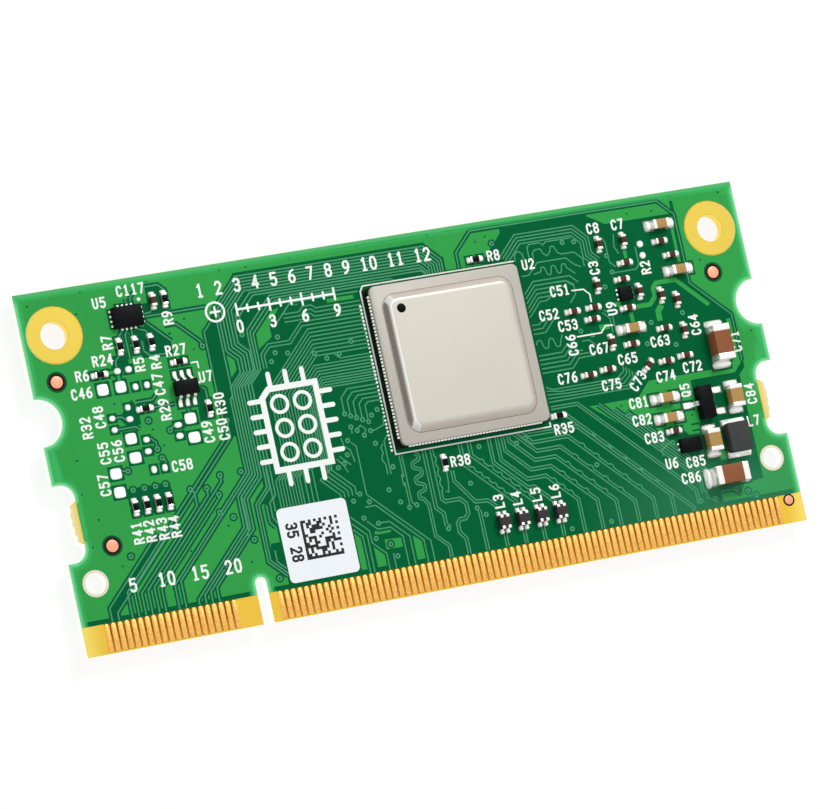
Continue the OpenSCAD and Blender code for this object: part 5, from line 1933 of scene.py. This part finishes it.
def make_sky(strength):
    """Even light from above that falls off towards the horizon. The camera itself sees plain white."""
    world = bpy.context.scene.world = bpy.data.worlds.new("sky")
    world.use_nodes = True
    tree = world.node_tree
    plain = tree.nodes["Background"]
    wire(tree, WHITE, plain.inputs["Color"])
    mirrored, white = (node_with(tree, "Background", {"Color": WHITE}) for _ in range(2))
    direction = tree.nodes.new("ShaderNodeTexCoord").outputs["Generated"]
    place = node_with(tree, "SeparateXYZ", (direction,)).outputs
    lean = node_with(tree, "Math", (place["X"], SKY_LEAN, place["Z"]), operation="MULTIPLY_ADD").outputs[0]
    for light, low, high, level in ((plain, 0.25 * strength, strength, place["Z"]),
                                    (mirrored, 0.12, 1.0, lean)):
        values = {"Value": level, "To Min": low, "To Max": high, **SKY_RISE}
        wire(tree, node_with(tree, "MapRange", values).outputs["Result"], light.inputs["Strength"])
    path = tree.nodes.new("ShaderNodeLightPath").outputs
    light = plain.outputs[0]
    for ray, other in (("Is Glossy Ray", mirrored), ("Is Camera Ray", white)):
        light = node_with(tree, "MixShader", (path[ray], light, other.outputs[0])).outputs[0]
    wire(tree, light, tree.nodes["World Output"].inputs["Surface"])


INK_SINK = 0.022


def make_legend():
    """White legend, printed over the mask and sunk a little into it."""
    settings = board()
    height = TOP + (settings.mask_thickness + settings.copper_rise) / MM - INK_SINK
    thickness = INK_SINK + settings.ink_thickness / MM
    ink_sheet("legend", legend_shapes(), height, thickness, "legend_ink")


# Operators
class MODULE_OT_stage(bpy.types.Operator):
    """Adds the camera, the lamps and the floor"""
    bl_idname = "module.stage"
    bl_label = "Stage"

    def execute(self, context):
        make_stage()
        return {"FINISHED"}


class MODULE_OT_finishes(bpy.types.Operator):
    """Makes the materials and dresses the frame's own nodes"""
    bl_idname = "module.finishes"
    bl_label = "Finishes"

    def execute(self, context):
        make_finishes()
        return {"FINISHED"}


class MODULE_OT_mask(bpy.types.Operator):
    """Lays the solder mask over the copper of both faces"""
    bl_idname = "module.mask"
    bl_label = "Solder mask"

    def execute(self, context):
        make_mask()
        return {"FINISHED"}


class MODULE_OT_legend(bpy.types.Operator):
    """Prints the white legend"""
    bl_idname = "module.legend"
    bl_label = "Legend"

    def execute(self, context):
        make_legend()
        return {"FINISHED"}


class MODULE_OT_contacts(bpy.types.Operator):
    """Makes the gold edge contacts of both faces"""
    bl_idname = "module.contacts"
    bl_label = "Edge contacts"

    def execute(self, context):
        make_contacts()
        return {"FINISHED"}


class MODULE_OT_rings(bpy.types.Operator):
    """Makes the plated mounting rings"""
    bl_idname = "module.rings"
    bl_label = "Mounting rings"

    def execute(self, context):
        make_rings()
        return {"FINISHED"}


class MODULE_OT_fiducials(bpy.types.Operator):
    """Makes the copper targets in their windows"""
    bl_idname = "module.fiducials"
    bl_label = "Fiducial marks"

    def execute(self, context):
        make_fiducials()
        return {"FINISHED"}


class MODULE_OT_lands(bpy.types.Operator):
    """Makes the solder of the empty lands and under the bent leads"""
    bl_idname = "module.lands"
    bl_label = "Soldered lands"

    def execute(self, context):
        make_lands()
        return {"FINISHED"}


class MODULE_OT_processor(bpy.types.Operator):
    """Makes the processor's lid, stubs and solder balls"""
    bl_idname = "module.processor"
    bl_label = "Processor"

    def execute(self, context):
        make_processor()
        return {"FINISHED"}


class MODULE_OT_packages(bpy.types.Operator):
    """Makes the packages under the board"""
    bl_idname = "module.packages"
    bl_label = "Underside packages"

    def execute(self, context):
        make_underside_packages()
        return {"FINISHED"}


class MODULE_OT_chips(bpy.types.Operator):
    """Makes the small chips with their terminals"""
    bl_idname = "module.chips"
    bl_label = "Small chips"

    def execute(self, context):
        make_small_chips()
        return {"FINISHED"}


class MODULE_OT_capacitors(bpy.types.Operator):
    """Makes the capacitors with their solder"""
    bl_idname = "module.capacitors"
    bl_label = "Capacitors"

    def execute(self, context):
        make_capacitors()
        return {"FINISHED"}


class MODULE_OT_resistors(bpy.types.Operator):
    """Makes the chip resistors with their solder"""
    bl_idname = "module.resistors"
    bl_label = "Resistors"

    def execute(self, context):
        make_resistors()
        return {"FINISHED"}


class MODULE_OT_power(bpy.types.Operator):
    """Makes the inductor and the line filters"""
    bl_idname = "module.power"
    bl_label = "Power parts"

    def execute(self, context):
        make_power_parts()
        return {"FINISHED"}


class MODULE_OT_label(bpy.types.Operator):
    """Makes the printed sticker"""
    bl_idname = "module.label"
    bl_label = "Label"

    def execute(self, context):
        make_label()
        return {"FINISHED"}


STEPS = (MODULE_OT_stage, MODULE_OT_finishes, MODULE_OT_mask, MODULE_OT_legend, MODULE_OT_contacts,
         MODULE_OT_rings, MODULE_OT_fiducials, MODULE_OT_lands, MODULE_OT_processor, MODULE_OT_packages,
         MODULE_OT_chips, MODULE_OT_capacitors, MODULE_OT_resistors, MODULE_OT_power, MODULE_OT_label)


class MODULE_PT_panel(bpy.types.Panel):
    """Lists the steps and their settings."""
    bl_label = "Module Board"
    bl_idname = "MODULE_PT_panel"
    bl_space_type = "VIEW_3D"
    bl_region_type = "UI"
    bl_category = "Module Board"

    def draw(self, context):
        for group in (board(), finishes(), stage()):
            box = self.layout.box()
            for name in group.__annotations__:
                box.prop(group, name)
        for step in STEPS:
            self.layout.operator(step.bl_idname)


CLASSES = (BoardSettings, FinishSettings, StageSettings, *STEPS, MODULE_PT_panel)


def register():
    for item in CLASSES:
        bpy.utils.register_class(item)
    bpy.types.Scene.module_board = bpy.props.PointerProperty(type=BoardSettings)
    bpy.types.Scene.module_finishes = bpy.props.PointerProperty(type=FinishSettings)
    bpy.types.Scene.module_stage = bpy.props.PointerProperty(type=StageSettings)


def unregister():
    del bpy.types.Scene.module_stage
    del bpy.types.Scene.module_finishes
    del bpy.types.Scene.module_board
    for item in reversed(CLASSES):
        bpy.utils.unregister_class(item)


def main():
    register()
    for step in STEPS:
        name = step.bl_idname.split(".")[1]
        if getattr(bpy.ops.module, name)() != {"FINISHED"}:
            raise RuntimeError("this step did not finish: " + name)


if __name__ == "__main__":
    main()
